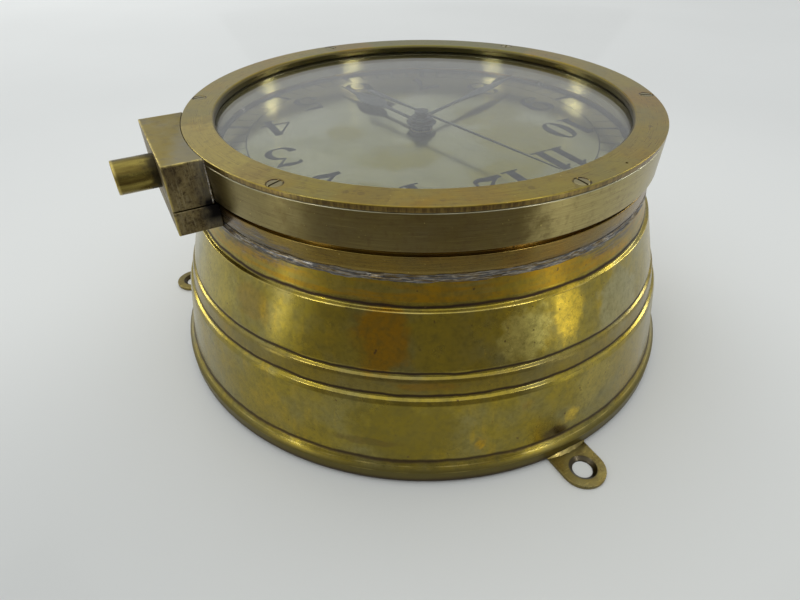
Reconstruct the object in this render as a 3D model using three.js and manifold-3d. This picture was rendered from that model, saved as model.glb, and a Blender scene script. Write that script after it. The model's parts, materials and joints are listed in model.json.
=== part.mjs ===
// A brass ship's deck clock: spun case with a hinged, lockable bezel, a silvered dial and
// an eight-day lever movement. Millimetres, +Z out of the dial, +Y towards twelve o'clock.
// The origin is the centre of the flat back. The hands are at rest at about 5:42.
import * as THREE from 'three';
import { mergeVertices } from 'three/addons/utils/BufferGeometryUtils.js';
import Module from 'manifold-3d';

const wasm = await Module();
wasm.setup();

// ---------------------------------------------------------------- driving dimensions
const BEZEL_R = 87.5;            // outside radius of the bezel
const GLASS_OPENING_R = 76.2;    // six inch dial opening
const TOTAL_H = 94.4;            // back face to the top of the bezel
const BASE_R = 104.5;            // radius of the base bead
const WALL = 1.3;                // spun sheet
const GAP = 0.3;                 // clearance between neighbouring pieces
const SEGMENTS = 48;             // facets round every large ring

const BACK_T = 1.5;              // back plate and lugs
const DIAL_TOP = 80;
const DIAL_T = 0.8;
const DIAL_R = 79.8;
const FLANGE_R = 85.9;
const FLANGE_Z = [71.8, 78.0];
const BAND_Z = [80.2, 92.4];
const SPIGOT_TOP = 80.9;         // flange lip that the bezel drops over
const RING_T = 1.9;              // bezel ring on top of the band
const RING_LIP = 1.1;            // depth of the lip that holds the glass down
const GLASS_T = 2.9;
const GLASS_R = 82.2;
const GLASS_TOP = 91.3;

const LUG_ANGLES = { 12: 90, 4: -34.5, 8: 214.5 };
const LUG_HOLE_AT = 112.6;
const LUG_HALF_W = 7.8;
const LUG_HOLE_R = 3.4;
const LUG_RIM_R = 4.7;           // countersunk mouth of the lug hole

const BLOCK_FACE_X = 98.3;       // outer face of the lock block and its keeper
const BLOCK_Y = [-27.7, 17.8];
const LOCK_Z = 86.5;             // axis of the bezel lock
const BARREL_END_X = 111.2;
const KEEPER_Z = [70.8, 78.9];

const HINGE_X = -91.3;           // bezel hinge axis, parallel to Y
const HINGE_Z = 79.1;
const KNUCKLE_R = 3.2;
const HINGE_HALF_L = 16;

const SCREW_COUNT = 6;
const SCREW_RING_R = 84.6;
const SCREW_FIRST_ANGLE = 31.5;

const PLATE_R = 60;              // movement plates
const REAR_PLATE_Z = [38, 40];
const FRONT_PLATE_Z = [66, 68];
const ARBOR_R = 1.0;
const PIVOT_HOLE_R = 1.4;

// Rest positions of the hands, degrees clockwise from twelve
const HOUR_AT = 171.2;
const MINUTE_AT = 248;
const SECOND_AT = 349.5;

// ---------------------------------------------------------------- materials
const finish = (color, roughness, metalness) =>
  new THREE.MeshStandardMaterial({ color, roughness, metalness });
const SPUN_BRASS = finish(0x9a8a3c, 0.3, 1.0);
const TURNED_BRASS = finish(0x8d7a45, 0.4, 1.0);
const MOVEMENT_BRASS = finish(0xb59a4a, 0.35, 1.0);
const SILVERED = finish(0xaeaa98, 0.35, 0.6);
const BLUED_STEEL = finish(0x3a4150, 0.4, 0.8);
const STEEL = finish(0x8b8d90, 0.35, 1.0);
const GLASS = new THREE.MeshStandardMaterial({
  color: 0xdfe6e4, roughness: 0.05, metalness: 0, transparent: true, opacity: 0.35,
});
const RUBBER = finish(0x2a2a28, 0.8, 0.0);

// ---------------------------------------------------------------- solids
const TAU = Math.PI * 2;
const rad = (degrees) => THREE.MathUtils.degToRad(degrees);
const polar = (radius, degrees) => [radius * Math.cos(rad(degrees)), radius * Math.sin(rad(degrees))];

function toSolid(geometry) {
  const bare = geometry.clone();
  bare.deleteAttribute('normal');
  bare.deleteAttribute('uv');
  const merged = mergeVertices(bare, 1e-4);
  const index = Uint32Array.from(merged.index.array);
  const points = Float32Array.from(merged.attributes.position.array);
  return new wasm.Manifold(new wasm.Mesh({ numProp: 3, vertProperties: points, triVerts: index }));
}

function toGeometry(manifold) {
  const mesh = manifold.getMesh();
  const geometry = new THREE.BufferGeometry();
  geometry.setAttribute('position', new THREE.BufferAttribute(Float32Array.from(mesh.vertProperties), 3));
  geometry.setIndex(new THREE.BufferAttribute(Uint32Array.from(mesh.triVerts), 1));
  geometry.computeVertexNormals();
  return geometry;
}

// A solid of revolution about Z from a closed outline of [radius, height] points, which
// runs anticlockwise with the radius to the right and the height up.
function turned(outline, segments = SEGMENTS) {
  const points = [...outline, outline[0]].map(([radius, height]) => new THREE.Vector2(radius, height));
  const geometry = new THREE.LatheGeometry(points, segments);
  geometry.rotateX(Math.PI / 2);
  return toSolid(geometry);
}

function tube(inner, outer, z0, z1, segments = SEGMENTS) {
  return turned([[inner, z0], [outer, z0], [outer, z1], [inner, z1]], segments);
}

function rod(radius, z0, z1, segments = 12, [x, y] = [0, 0]) {
  const geometry = new THREE.CylinderGeometry(radius, radius, z1 - z0, segments);
  geometry.rotateX(Math.PI / 2);
  geometry.translate(x, y, (z0 + z1) / 2);
  return toSolid(geometry);
}

// A rod along X or Y, between two values of that coordinate
function rodX(radius, x0, x1, [y, z], segments = 16) {
  const geometry = new THREE.CylinderGeometry(radius, radius, x1 - x0, segments);
  geometry.rotateZ(Math.PI / 2);
  geometry.translate((x0 + x1) / 2, y, z);
  return toSolid(geometry);
}

function rodY(radius, y0, y1, [x, z], segments = 16) {
  const geometry = new THREE.CylinderGeometry(radius, radius, y1 - y0, segments);
  geometry.translate(x, (y0 + y1) / 2, z);
  return toSolid(geometry);
}

function block([x0, x1], [y0, y1], [z0, z1]) {
  const geometry = new THREE.BoxGeometry(x1 - x0, y1 - y0, z1 - z0);
  geometry.translate((x0 + x1) / 2, (y0 + y1) / 2, (z0 + z1) / 2);
  return toSolid(geometry);
}

// A flat sheet of the given outline, with round or shaped holes through it
function sheet(outline, z0, z1, holes = [], curveSegments = 12) {
  const shape = outline instanceof THREE.Shape ? outline : new THREE.Shape(outline.map(asVector));
  shape.holes.push(...holes.map((hole) => new THREE.Path(hole.map(asVector))));
  const geometry = new THREE.ExtrudeGeometry(shape, { depth: z1 - z0, bevelEnabled: false, curveSegments });
  geometry.translate(0, 0, z0);
  return toSolid(geometry);
}

function asVector([x, y]) {
  return new THREE.Vector2(x, y);
}

function circle(radius, segments, [x, y] = [0, 0]) {
  return Array.from({ length: segments }, (_, i) => {
    const turn = (TAU * i) / segments;
    return [x + radius * Math.cos(turn), y + radius * Math.sin(turn)];
  });
}

function union(first, ...others) {
  return others.reduce((sum, other) => sum.add(other), first);
}

function cut(body, ...tools) {
  return tools.reduce((rest, tool) => rest.subtract(tool), body);
}

// ---------------------------------------------------------------- scene graph
const clock = new THREE.Group();
clock.name = 'deck_clock';

function add(name, manifold, material, [x, y] = [0, 0], turn = 0) {
  const mesh = new THREE.Mesh(toGeometry(manifold), material);
  mesh.name = name;
  mesh.position.set(x, y, 0);
  mesh.rotation.z = turn;
  clock.add(mesh);
}

// ---------------------------------------------------------------- case
// The spun body: a base bead, two conical bands with a recessed band between them,
// a rolled shoulder and a short neck that the case flange is soldered to.
function caseBody() {
  const neckTop = FLANGE_Z[0] - GAP;
  const outside = [
    [BASE_R - 0.6, 0], [BASE_R, 1.4], [BASE_R, 5.8], [102.2, 8.6],
    [98.2, 32], [96.8, 33.6], [95.6, 39.8], [94.7, 42.4],
    [89.4, 59.8], [87.8, 61.4], [85.4, neckTop],
  ];
  const inside = [
    [85.4 - WALL, neckTop], [86.2, 61.2], [100.4, 9.2], [102.8, 5.8], [102.8, 0],
  ];
  const notches = Object.values(LUG_ANGLES).map((angle) =>
    block([98, BASE_R + 2], [-LUG_HALF_W - GAP, LUG_HALF_W + GAP], [-1, BACK_T + GAP])
      .rotate([0, 0, angle]));
  return cut(turned([...outside, ...inside]), ...notches);
}

// The turned ring on top of the neck: a seat for the dial inside, a lip for the bezel above
function caseFlange() {
  const [bottom, top] = FLANGE_Z;
  const lipR = BEZEL_R - 3.1;
  const dialRecessR = DIAL_R + 0.4;
  const dialSeat = DIAL_TOP - DIAL_T - GAP;
  return turned([
    [76, bottom], [FLANGE_R, bottom], [FLANGE_R, top], [lipR, top], [lipR, SPIGOT_TOP],
    [dialRecessR, SPIGOT_TOP], [dialRecessR, dialSeat], [76, dialSeat],
  ]);
}

const backPlateR = BASE_R - 2.1;
const lugRoot = 96;

function backPlate() {
  const notches = Object.values(LUG_ANGLES).map((angle) =>
    block([lugRoot - GAP, BASE_R], [-LUG_HALF_W - GAP, LUG_HALF_W + GAP], [-1, BACK_T + 1])
      .rotate([0, 0, angle]));
  return cut(rod(backPlateR, 0, BACK_T, SEGMENTS), ...notches);
}

// A flat lug with a round end and a countersunk screw hole, its tongue let into the back
function lug() {
  const outline = new THREE.Shape();
  outline.moveTo(lugRoot, -LUG_HALF_W);
  outline.lineTo(LUG_HOLE_AT, -LUG_HALF_W);
  outline.absarc(LUG_HOLE_AT, 0, LUG_HALF_W, -Math.PI / 2, Math.PI / 2);
  outline.lineTo(lugRoot, LUG_HALF_W);
  const mouth = turned([[0, -1], [LUG_HOLE_R, -1], [LUG_HOLE_R, 0.3], [LUG_RIM_R, BACK_T + 0.1],
    [0, BACK_T + 0.1]], 16).translate([LUG_HOLE_AT, 0, 0]);
  return cut(sheet(outline, 0, BACK_T), mouth);
}

add('case_body', caseBody(), SPUN_BRASS);
add('case_flange', caseFlange(), TURNED_BRASS);
add('back_plate', backPlate(), SPUN_BRASS);
for (const [hour, angle] of Object.entries(LUG_ANGLES)) {
  add(`mounting_lug_${hour}`, lug(), SPUN_BRASS, [0, 0], rad(angle));
}

// ---------------------------------------------------------------- bezel
const ringBottom = TOTAL_H - RING_T;
const seatZ = 87.6;
const bandInnerR = 77.6;
const seatR = GLASS_R + 0.4;
const screwPlaces = Array.from({ length: SCREW_COUNT }, (_, i) =>
  polar(SCREW_RING_R, SCREW_FIRST_ANGLE + (360 / SCREW_COUNT) * i));

function bezelBand() {
  const [bottom, top] = BAND_Z;
  const skirtR = BEZEL_R - 2.5;
  const skirtTop = SPIGOT_TOP + 0.4;
  const band = turned([
    [skirtR, bottom], [BEZEL_R - 0.4, bottom], [BEZEL_R, top], [seatR, top], [seatR, seatZ],
    [bandInnerR, seatZ], [bandInnerR, skirtTop], [skirtR, skirtTop],
  ]);
  return cut(band, ...screwPlaces.map((at) => rod(1.3, 88.5, top + 1, 8, at)));
}

function retainingRing() {
  const lipR = 79.5;
  const lipBottom = ringBottom - RING_LIP + 0.1;
  const ring = turned([
    [GLASS_OPENING_R, lipBottom], [lipR, lipBottom], [lipR, ringBottom], [BEZEL_R, ringBottom],
    [BEZEL_R, TOTAL_H], [GLASS_OPENING_R, TOTAL_H],
  ]);
  const hole = turned([[0, ringBottom - 1], [1.3, ringBottom - 1], [1.3, ringBottom + 0.5],
    [2.6, TOTAL_H + 0.1], [0, TOTAL_H + 0.1]], 12);
  return cut(ring, ...screwPlaces.map(([x, y]) => hole.translate([x, y, 0])));
}

// A slotted countersunk screw, drawn at the origin with its head flush at the top
function bezelScrew() {
  const head = TOTAL_H - 0.05;
  const body = turned([[0, 88.8], [1.0, 88.8], [1.0, head - 1.35], [2.25, head], [0, head]], 12);
  return cut(body, block([-3, 3], [-0.3, 0.3], [head - 0.6, head + 1]));
}

add('bezel_band', bezelBand(), TURNED_BRASS);
add('retaining_ring', retainingRing(), TURNED_BRASS);
screwPlaces.forEach((at, i) => {
  const slotAngle = rad(25 + 67 * i);
  add(`bezel_screw_${i + 1}`, bezelScrew(), TURNED_BRASS, at, slotAngle);
});
add('glass', rod(GLASS_R, GLASS_TOP - GLASS_T, GLASS_TOP, SEGMENTS), GLASS);
add('glass_gasket', tube(bandInnerR + 0.4, GLASS_R, seatZ + 0.1, GLASS_TOP - GLASS_T - 0.1), RUBBER);

// ---------------------------------------------------------------- bezel lock at three o'clock
// The cam hangs clear at rest. Turned a quarter, its tongue lies under the bridge of a staple
// that stands on the keeper block, and the bezel can't lift.
const camX = [90.6, 94.0];
const camReach = 9.6;
const tongueHalf = 2.6;
const staple = { x: [88.7, 95.9], y: [-9.6, -7.2], top: 91.0, bridge: 1.5, legGap: 0.4 };
const slotSide = 0.5;            // play of the cam and the staple in the slots of the block

// The upper block: bored for the spindle, with slots below for the cam and the staple
function lockBlock() {
  const body = block([70, BLOCK_FACE_X], BLOCK_Y, [BAND_Z[0] - 0.9, TOTAL_H]);
  const slotX = [camX[0] - slotSide, camX[1] + slotSide];
  return cut(
    body,
    rod(BEZEL_R + GAP, 70, 100, SEGMENTS),
    block(slotX, [-camReach - 1, 5.2], [70, LOCK_Z + 3.6]),
    rodX(5.4, slotX[0], slotX[1], [0, LOCK_Z]),
    block([staple.x[0] - slotSide, staple.x[1] + slotSide], [staple.y[0] - slotSide, staple.y[1] + slotSide],
      [70, staple.top + 0.6]),
    rodX(2.9, slotX[1] - 1, BLOCK_FACE_X + 1, [0, LOCK_Z]),
  );
}

// The lower block on the case flange, with a slot for the tongue and the staple on top
function keeperBlock() {
  const body = block([70, BLOCK_FACE_X], BLOCK_Y, KEEPER_Z);
  const loop = block(staple.x, staple.y, [KEEPER_Z[1] - 1, staple.top]);
  const legs = [camX[0] - staple.legGap, camX[1] + staple.legGap];
  return cut(
    union(body, loop),
    block(legs, [staple.y[0] - 1, staple.y[1] + 1], [KEEPER_Z[1], staple.top - staple.bridge]),
    rod(FLANGE_R + GAP, 60, 79.5, SEGMENTS),
    block([camX[0] - 1, camX[1] + 1], [staple.y[1] + 0.3, tongueHalf + 1], [LOCK_Z - camReach - 0.9, 90]),
  );
}

function lockBarrel() {
  const tubeBody = rodX(5.5, BLOCK_FACE_X, BARREL_END_X, [0, LOCK_Z], 24);
  return cut(tubeBody, rodX(3.9, BLOCK_FACE_X - 1, BARREL_END_X + 1, [0, LOCK_Z], 24));
}

// A shaft through the block with a square end, sunk in the barrel, for the key
function lockSpindle() {
  const squareHalf = 1.5;
  return union(
    rodX(2.0, camX[0], camX[1] + 0.9, [0, LOCK_Z], 12),
    rodX(2.4, camX[1] + 0.8, 101, [0, LOCK_Z], 12),
    block([100.5, 106.4], [-squareHalf, squareHalf], [LOCK_Z - squareHalf, LOCK_Z + squareHalf]),
  );
}

function lockCam() {
  const eye = rodX(4.4, camX[0], camX[1], [0, LOCK_Z]);
  const tongue = block(camX, [-tongueHalf, tongueHalf], [LOCK_Z - camReach, LOCK_Z]);
  return cut(union(eye, tongue), rodX(2.3, camX[0] - 1, camX[1] + 1, [0, LOCK_Z], 12));
}

add('lock_block', lockBlock(), TURNED_BRASS);
add('lock_barrel', lockBarrel(), TURNED_BRASS);
add('lock_spindle', lockSpindle(), STEEL);
add('lock_cam', lockCam(), TURNED_BRASS);
add('keeper_block', keeperBlock(), TURNED_BRASS);

// ---------------------------------------------------------------- bezel hinge at nine o'clock
const pinR = 1.5;
const boreR = 1.85;
const middleHalf = 7.8;

function hingeBezelLeaf() {
  const knuckle = rodY(KNUCKLE_R, -middleHalf, middleHalf, [HINGE_X, HINGE_Z]);
  const arm = block([HINGE_X - 1.2, -80], [-middleHalf, middleHalf], [HINGE_Z + 1.5, 86]);
  return cut(union(knuckle, arm), rod(BEZEL_R + GAP, 70, 100, SEGMENTS),
    rodY(boreR, -40, 40, [HINGE_X, HINGE_Z]));
}

function hingeCaseLeaf() {
  const knuckles = [-1, 1].map((side) => {
    const ends = [side * (middleHalf + GAP), side * HINGE_HALF_L].sort((a, b) => a - b);
    return rodY(KNUCKLE_R, ends[0], ends[1], [HINGE_X, HINGE_Z]);
  });
  const web = block([HINGE_X - 1.4, -80], [-HINGE_HALF_L, HINGE_HALF_L], [72.2, 74.9]);
  const cheeks = [-1, 1].map((side) => {
    const ends = [side * (middleHalf + GAP), side * HINGE_HALF_L].sort((a, b) => a - b);
    return block([HINGE_X - 1.4, HINGE_X + 3], ends, [73, HINGE_Z - 1.2]);
  });
  return cut(union(web, ...knuckles, ...cheeks), rod(FLANGE_R + GAP, 60, 100, SEGMENTS),
    rodY(1.6, -40, 40, [HINGE_X, HINGE_Z]));
}

add('hinge_bezel_leaf', hingeBezelLeaf(), TURNED_BRASS);
add('hinge_case_leaf', hingeCaseLeaf(), TURNED_BRASS);
add('hinge_pin', rodY(pinR, -HINGE_HALF_L - 0.8, HINGE_HALF_L + 0.8, [HINGE_X, HINGE_Z], 12), TURNED_BRASS);

// ---------------------------------------------------------------- gears
// A toothed outline about the origin with a tooth centred on the angle start.
// rootHalf and tipHalf are half tooth widths as parts of the pitch.
function toothed(teeth, module, start, { addendum, dedendum, rootHalf, tipHalf }) {
  const pitch = TAU / teeth;
  const rootR = module * (teeth / 2 - dedendum);
  const tipR = module * (teeth / 2 + addendum);
  const outline = [];
  for (let i = 0; i < teeth; i += 1) {
    const centre = start + i * pitch;
    const corners = [[rootR, -rootHalf], [tipR, -tipHalf], [tipR, tipHalf], [rootR, rootHalf]];
    for (const [radius, offset] of corners) {
      const angle = centre + offset * pitch;
      outline.push([radius * Math.cos(angle), radius * Math.sin(angle)]);
    }
  }
  return outline;
}

const WHEEL = { addendum: 0.8, dedendum: 1.0, rootHalf: 0.24, tipHalf: 0.1 };
const PINION = { addendum: 0.7, dedendum: 1.1, rootHalf: 0.17, tipHalf: 0.09 };

// The angle at which a follower's tooth must start to mesh with its driver
function meshed(driverTeeth, driverStart, from, to, followerTeeth) {
  const towards = Math.atan2(to[1] - from[1], to[0] - from[0]);
  const phase = ((towards - driverStart) * driverTeeth) / TAU;
  return towards + Math.PI - ((0.5 - phase) * TAU) / followerTeeth;
}

// ---------------------------------------------------------------- movement layout
const centre = [0, 0];
const trainModule = 0.8;
const [centreTeeth, thirdLeaves, thirdTeeth, secondLeaves] = [48, 6, 45, 6];
const thirdDistance = (trainModule * (centreTeeth + thirdLeaves)) / 2;
const secondModule = (2 * thirdDistance) / (thirdTeeth + secondLeaves);
const third = polar(thirdDistance, 60);

const [fourthTeeth, escapeLeaves, fourthModule] = [60, 6, 0.5];
const escapeDistance = (fourthModule * (fourthTeeth + escapeLeaves)) / 2;
const step = ([x, y], distance, degrees) => {
  const [dx, dy] = polar(distance, degrees);
  return [x + dx, y + dy];
};
const fourth = step(third, thirdDistance, 10);
const escape = step(fourth, escapeDistance, -60);
const leverPivot = step(escape, 10.5, -80);
const balance = step(leverPivot, 13, -100);

const [centreLeaves, intermediateTeeth, intermediateLeaves, barrelTeeth] = [8, 48, 8, 48];
const intermediateDistance = (trainModule * (centreLeaves + intermediateTeeth)) / 2;
const barrelModule = 1.0;
const barrelDistance = (barrelModule * (intermediateLeaves + barrelTeeth)) / 2;
const barrel = [0, -31.5];
const intermediate = meetingPoint(centre, intermediateDistance, barrel, barrelDistance);

const clickPivot = [barrel[0] + 12.6, barrel[1] - 3.2];

const motionDistance = 12;
const motionWheel = polar(motionDistance, 120);

// The point to the left of the line from a to b at the two given distances
function meetingPoint(a, distanceA, b, distanceB) {
  const span = Math.hypot(b[0] - a[0], b[1] - a[1]);
  const along = (distanceA ** 2 - distanceB ** 2 + span ** 2) / (2 * span);
  const aside = Math.sqrt(distanceA ** 2 - along ** 2);
  const [ux, uy] = [(b[0] - a[0]) / span, (b[1] - a[1]) / span];
  return [a[0] + ux * along + uy * aside, a[1] + uy * along - ux * aside];
}

const arbors = { third, fourth, escape, intermediate };
const arborSpan = [REAR_PLATE_Z[0] + 0.2, FRONT_PLATE_Z[1] - 0.2];

// A wheel, its pinion and their arbor as one riveted piece, drawn about its own axis
function wheelAndPinion(wheel, pinion) {
  return union(
    rod(ARBOR_R, arborSpan[0], arborSpan[1], 8),
    sheet(toothed(wheel.teeth, wheel.module, wheel.start, WHEEL), wheel.z[0], wheel.z[1]),
    sheet(toothed(pinion.teeth, pinion.module, pinion.start, PINION), pinion.z[0], pinion.z[1]),
  );
}

// ---------------------------------------------------------------- plates and pillars
const pillarPlaces = [90, 165, 235, 320].map((angle) => polar(55, angle));
const footPlaces = [20, 140, 250].map((angle) => polar(47, angle));

function movementPlate([z0, z1], holes) {
  const pivots = Object.values(arbors).map((at) => circle(PIVOT_HOLE_R, 8, at));
  return sheet(circle(PLATE_R, 40), z0, z1, [...pivots, ...holes]);
}

const leverHole = circle(PIVOT_HOLE_R, 8, leverPivot);
add('movement_rear_plate', movementPlate(REAR_PLATE_Z, [
  leverHole, circle(1.1, 8, balance), circle(3.4, 12, barrel), circle(1.0, 8, centre),
]), MOVEMENT_BRASS);
add('movement_front_plate', movementPlate(FRONT_PLATE_Z, [
  leverHole, circle(3.4, 12, barrel), circle(1.8, 12, centre), circle(1.3, 8, motionWheel),
  circle(1.3, 8, clickPivot),
]), MOVEMENT_BRASS);
pillarPlaces.forEach((at, i) => {
  add(`movement_pillar_${i + 1}`, rod(3, REAR_PLATE_Z[1] + 0.1, FRONT_PLATE_Z[0] - 0.1, 12),
    MOVEMENT_BRASS, at);
});
footPlaces.forEach((at, i) => {
  add(`dial_foot_${i + 1}`, rod(2, FRONT_PLATE_Z[1] + 0.1, DIAL_TOP - DIAL_T - 0.1, 10),
    MOVEMENT_BRASS, at);
});

// ---------------------------------------------------------------- dial
const dialScrewPlaces = [75, 195, 315].map((angle) => polar(78.5, angle));

function dial() {
  return sheet(circle(DIAL_R, SEGMENTS), DIAL_TOP - DIAL_T, DIAL_TOP, [
    circle(4.6, 20, centre), circle(4.2, 20, barrel),
    ...dialScrewPlaces.map((at) => circle(0.6, 8, at)),
  ]);
}

function dialScrew() {
  const top = DIAL_TOP + 0.05;
  const body = turned([[0, DIAL_TOP - DIAL_T - 0.2], [0.45, DIAL_TOP - DIAL_T - 0.2], [0.45, top],
    [1.1, top], [1.1, top + 0.6], [0, top + 0.6]], 8);
  return cut(body, block([-2, 2], [-0.15, 0.15], [top + 0.3, top + 1]));
}

add('dial', dial(), SILVERED);
dialScrewPlaces.forEach((at, i) => add(`dial_screw_${i + 1}`, dialScrew(), STEEL, at));

// ---------------------------------------------------------------- mainspring barrel and winding
const barrelZ = [42, 54];
const greatWheelZ = [50, 52.4];
const intermediateStart = 0.1;
const barrelStart = meshed(intermediateLeaves, intermediateStart, intermediate, barrel, barrelTeeth);

function mainspringBarrel() {
  const drum = turned([[3.4, barrelZ[0]], [21, barrelZ[0]], [21, barrelZ[1]], [19.6, barrelZ[1]],
    [19.6, barrelZ[0] + 1.4], [3.4, barrelZ[0] + 1.4]], 24);
  const teeth = sheet(toothed(barrelTeeth, barrelModule, barrelStart, WHEEL),
    greatWheelZ[0], greatWheelZ[1], [circle(20.4, 24)]);
  return union(drum, teeth);
}

add('mainspring_barrel', mainspringBarrel(), MOVEMENT_BRASS, barrel);
add('barrel_cover', tube(3.4, 19.2, barrelZ[1] - 1.4, barrelZ[1] - 0.1, 24), MOVEMENT_BRASS, barrel);
add('mainspring', tube(9, 18.8, barrelZ[0] + 1.8, barrelZ[1] - 1.8, 24), STEEL, barrel);

function windingArbor() {
  const squareHalf = 1.7;
  return union(
    rod(2.9, REAR_PLATE_Z[0] + 0.2, 70.6, 12),
    block([-squareHalf, squareHalf], [-squareHalf, squareHalf], [70, 76]),
  );
}

const ratchetTeeth = 20;
const ratchetR = 8;

function ratchetWheel() {
  const outline = [];
  for (let i = 0; i < ratchetTeeth; i += 1) {
    outline.push(polar(ratchetR - 1.5, (360 / ratchetTeeth) * i + 1));
    outline.push(polar(ratchetR, (360 / ratchetTeeth) * i));
  }
  return sheet(outline.reverse(), 68.4, 69.8, [circle(3.2, 12)]);
}

// The click stands just off the tooth tips on its pivot stud
function click() {
  const outline = [[-2, -1.8], [0, -2.4], [2, -1.2], [2.3, 1], [0.4, 2.3], [-3.6, 4.6], [-4.6, 4.2], [-2, 1.2]];
  return union(sheet(outline, 68.6, 70.2), rod(0.9, 66.3, 68.7, 8));
}

add('winding_arbor', windingArbor(), STEEL, barrel);
add('ratchet_wheel', ratchetWheel(), STEEL, barrel);
add('click', click(), STEEL, clickPivot);

// ---------------------------------------------------------------- going train
const intermediateZ = [62, 63.4];
const centreWheelZ = [56, 57.4];
const thirdWheelZ = [47.6, 49];
const fourthWheelZ = [60, 61.2];
const centrePinionStart = meshed(intermediateTeeth, intermediateStart, intermediate, centre, centreLeaves);
const centreWheelStart = 0;
const thirdPinionStart = meshed(centreTeeth, centreWheelStart, centre, third, thirdLeaves);
const thirdWheelStart = 0.05;
const secondPinionStart = meshed(thirdTeeth, thirdWheelStart, third, centre, secondLeaves);
const fourthPinionStart = meshed(thirdTeeth, thirdWheelStart, third, fourth, secondLeaves);
const fourthWheelStart = 0;
const escapePinionStart = meshed(fourthTeeth, fourthWheelStart, fourth, escape, escapeLeaves);

add('intermediate_wheel', wheelAndPinion(
  { teeth: intermediateTeeth, module: trainModule, start: intermediateStart, z: intermediateZ },
  { teeth: intermediateLeaves, module: barrelModule, start: intermediateStart, z: [49, 53.4] },
), MOVEMENT_BRASS, intermediate);
add('third_wheel', wheelAndPinion(
  { teeth: thirdTeeth, module: secondModule, start: thirdWheelStart, z: thirdWheelZ },
  { teeth: thirdLeaves, module: trainModule, start: thirdPinionStart, z: [55, 58.4] },
), MOVEMENT_BRASS, third);
add('fourth_wheel', wheelAndPinion(
  { teeth: fourthTeeth, module: fourthModule, start: fourthWheelStart, z: fourthWheelZ },
  { teeth: secondLeaves, module: secondModule, start: fourthPinionStart, z: [46.6, 50] },
), MOVEMENT_BRASS, fourth);

// The hollow centre arbor, once an hour, with its pinion and the cannon pinion on top
const centreTube = [0.95, 1.4];
const cannonTube = [1.7, 2.2];
const hourPipe = [3.0, 3.8];
const hourHandZ = [81.8, 82.4];
const minuteHandZ = [83.8, 84.4];
const secondHandZ = [86.1, 86.6];

function centreArbor() {
  const pinion = sheet(toothed(centreLeaves, trainModule, centrePinionStart, PINION), 61, 64.4);
  return cut(union(rod(centreTube[1], 50.6, 84.9, 12), pinion), rod(centreTube[0], 40, 90, 10));
}

function centreWheel() {
  return sheet(toothed(centreTeeth, trainModule, centreWheelStart, WHEEL),
    centreWheelZ[0], centreWheelZ[1], [circle(centreTube[1] + GAP, 12)]);
}

const [cannonLeaves, motionTeeth, motionLeaves, hourTeeth] = [8, 24, 6, 24];
const cannonModule = (2 * motionDistance) / (cannonLeaves + motionTeeth);
const hourModule = (2 * motionDistance) / (motionLeaves + hourTeeth);
const cannonStart = 0;
const motionStart = meshed(cannonLeaves, cannonStart, centre, motionWheel, motionTeeth);
const hourStart = meshed(motionLeaves, 0, motionWheel, centre, hourTeeth);

function cannonPinion() {
  const pinion = sheet(toothed(cannonLeaves, cannonModule, cannonStart, PINION), 69, 71.8);
  return cut(union(rod(cannonTube[1], 69, minuteHandZ[1] + 0.4, 12), pinion),
    rod(cannonTube[0], 60, 90, 12));
}

function hourWheel() {
  const wheel = sheet(toothed(hourTeeth, hourModule, hourStart, WHEEL), 72.8, 74.2);
  return cut(union(wheel, rod(hourPipe[1], 72.8, hourHandZ[1] + 0.3, 16)), rod(hourPipe[0], 60, 90, 16));
}

function motionWork() {
  return union(
    sheet(toothed(motionTeeth, cannonModule, motionStart, WHEEL), 69.6, 71),
    sheet(toothed(motionLeaves, hourModule, 0, PINION), 70.8, 75),
    rod(0.9, 66.4, 70, 8),
  );
}

add('centre_arbor', centreArbor(), STEEL);
add('centre_wheel', centreWheel(), MOVEMENT_BRASS);
add('cannon_pinion', cannonPinion(), STEEL);
add('hour_wheel', hourWheel(), MOVEMENT_BRASS);
add('minute_wheel', motionWork(), MOVEMENT_BRASS, motionWheel);

function secondsArbor() {
  return union(
    rod(0.6, REAR_PLATE_Z[0] + 0.2, 86.9, 10),
    sheet(toothed(secondLeaves, secondModule, secondPinionStart, PINION), 46.6, 50),
  );
}

add('seconds_arbor', secondsArbor(), STEEL);

// ---------------------------------------------------------------- escapement and balance
const escapeTeeth = 15;
const escapeR = 8;
const escapeZ = [43.4, 44.4];
const balanceR = 12;
const balanceZ = [46.6, 48.2];
const cockZ = [54, 56];

function escapeWheel() {
  const outline = [];
  for (let i = 0; i < escapeTeeth; i += 1) {
    const at = (360 / escapeTeeth) * i;
    outline.push(polar(escapeR - 2, at - 5), polar(escapeR, at + 3), polar(escapeR, at + 5), polar(escapeR - 2, at + 4));
  }
  const pinion = sheet(toothed(escapeLeaves, fourthModule, escapePinionStart, PINION), 58.8, 62.2);
  return union(rod(0.8, arborSpan[0], arborSpan[1], 8), sheet(outline, escapeZ[0], escapeZ[1]), pinion);
}

// The lever: two pallets that straddle the escape wheel and a fork towards the balance,
// drawn about its pivot with the escape wheel along +Y
function palletLever() {
  const pallets = [[-7.2, 4.4], [-5.6, 3.4], [-1.6, 1.2], [1.6, 1.2], [5.6, 3.4], [7.2, 4.4], [7.8, 2.6],
    [2.2, -1.8], [0.9, -2.2], [0.9, -8.4], [1.9, -10.2], [1.1, -10.6], [0, -9.2], [-1.1, -10.6],
    [-1.9, -10.2], [-0.9, -8.4], [-0.9, -2.2], [-2.2, -1.8], [-7.8, 2.6]];
  return union(sheet(pallets, 43.2, 44.6), rod(0.8, arborSpan[0], arborSpan[1], 8));
}

const leverTurn = Math.atan2(escape[1] - leverPivot[1], escape[0] - leverPivot[0]) - Math.PI / 2;

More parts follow.
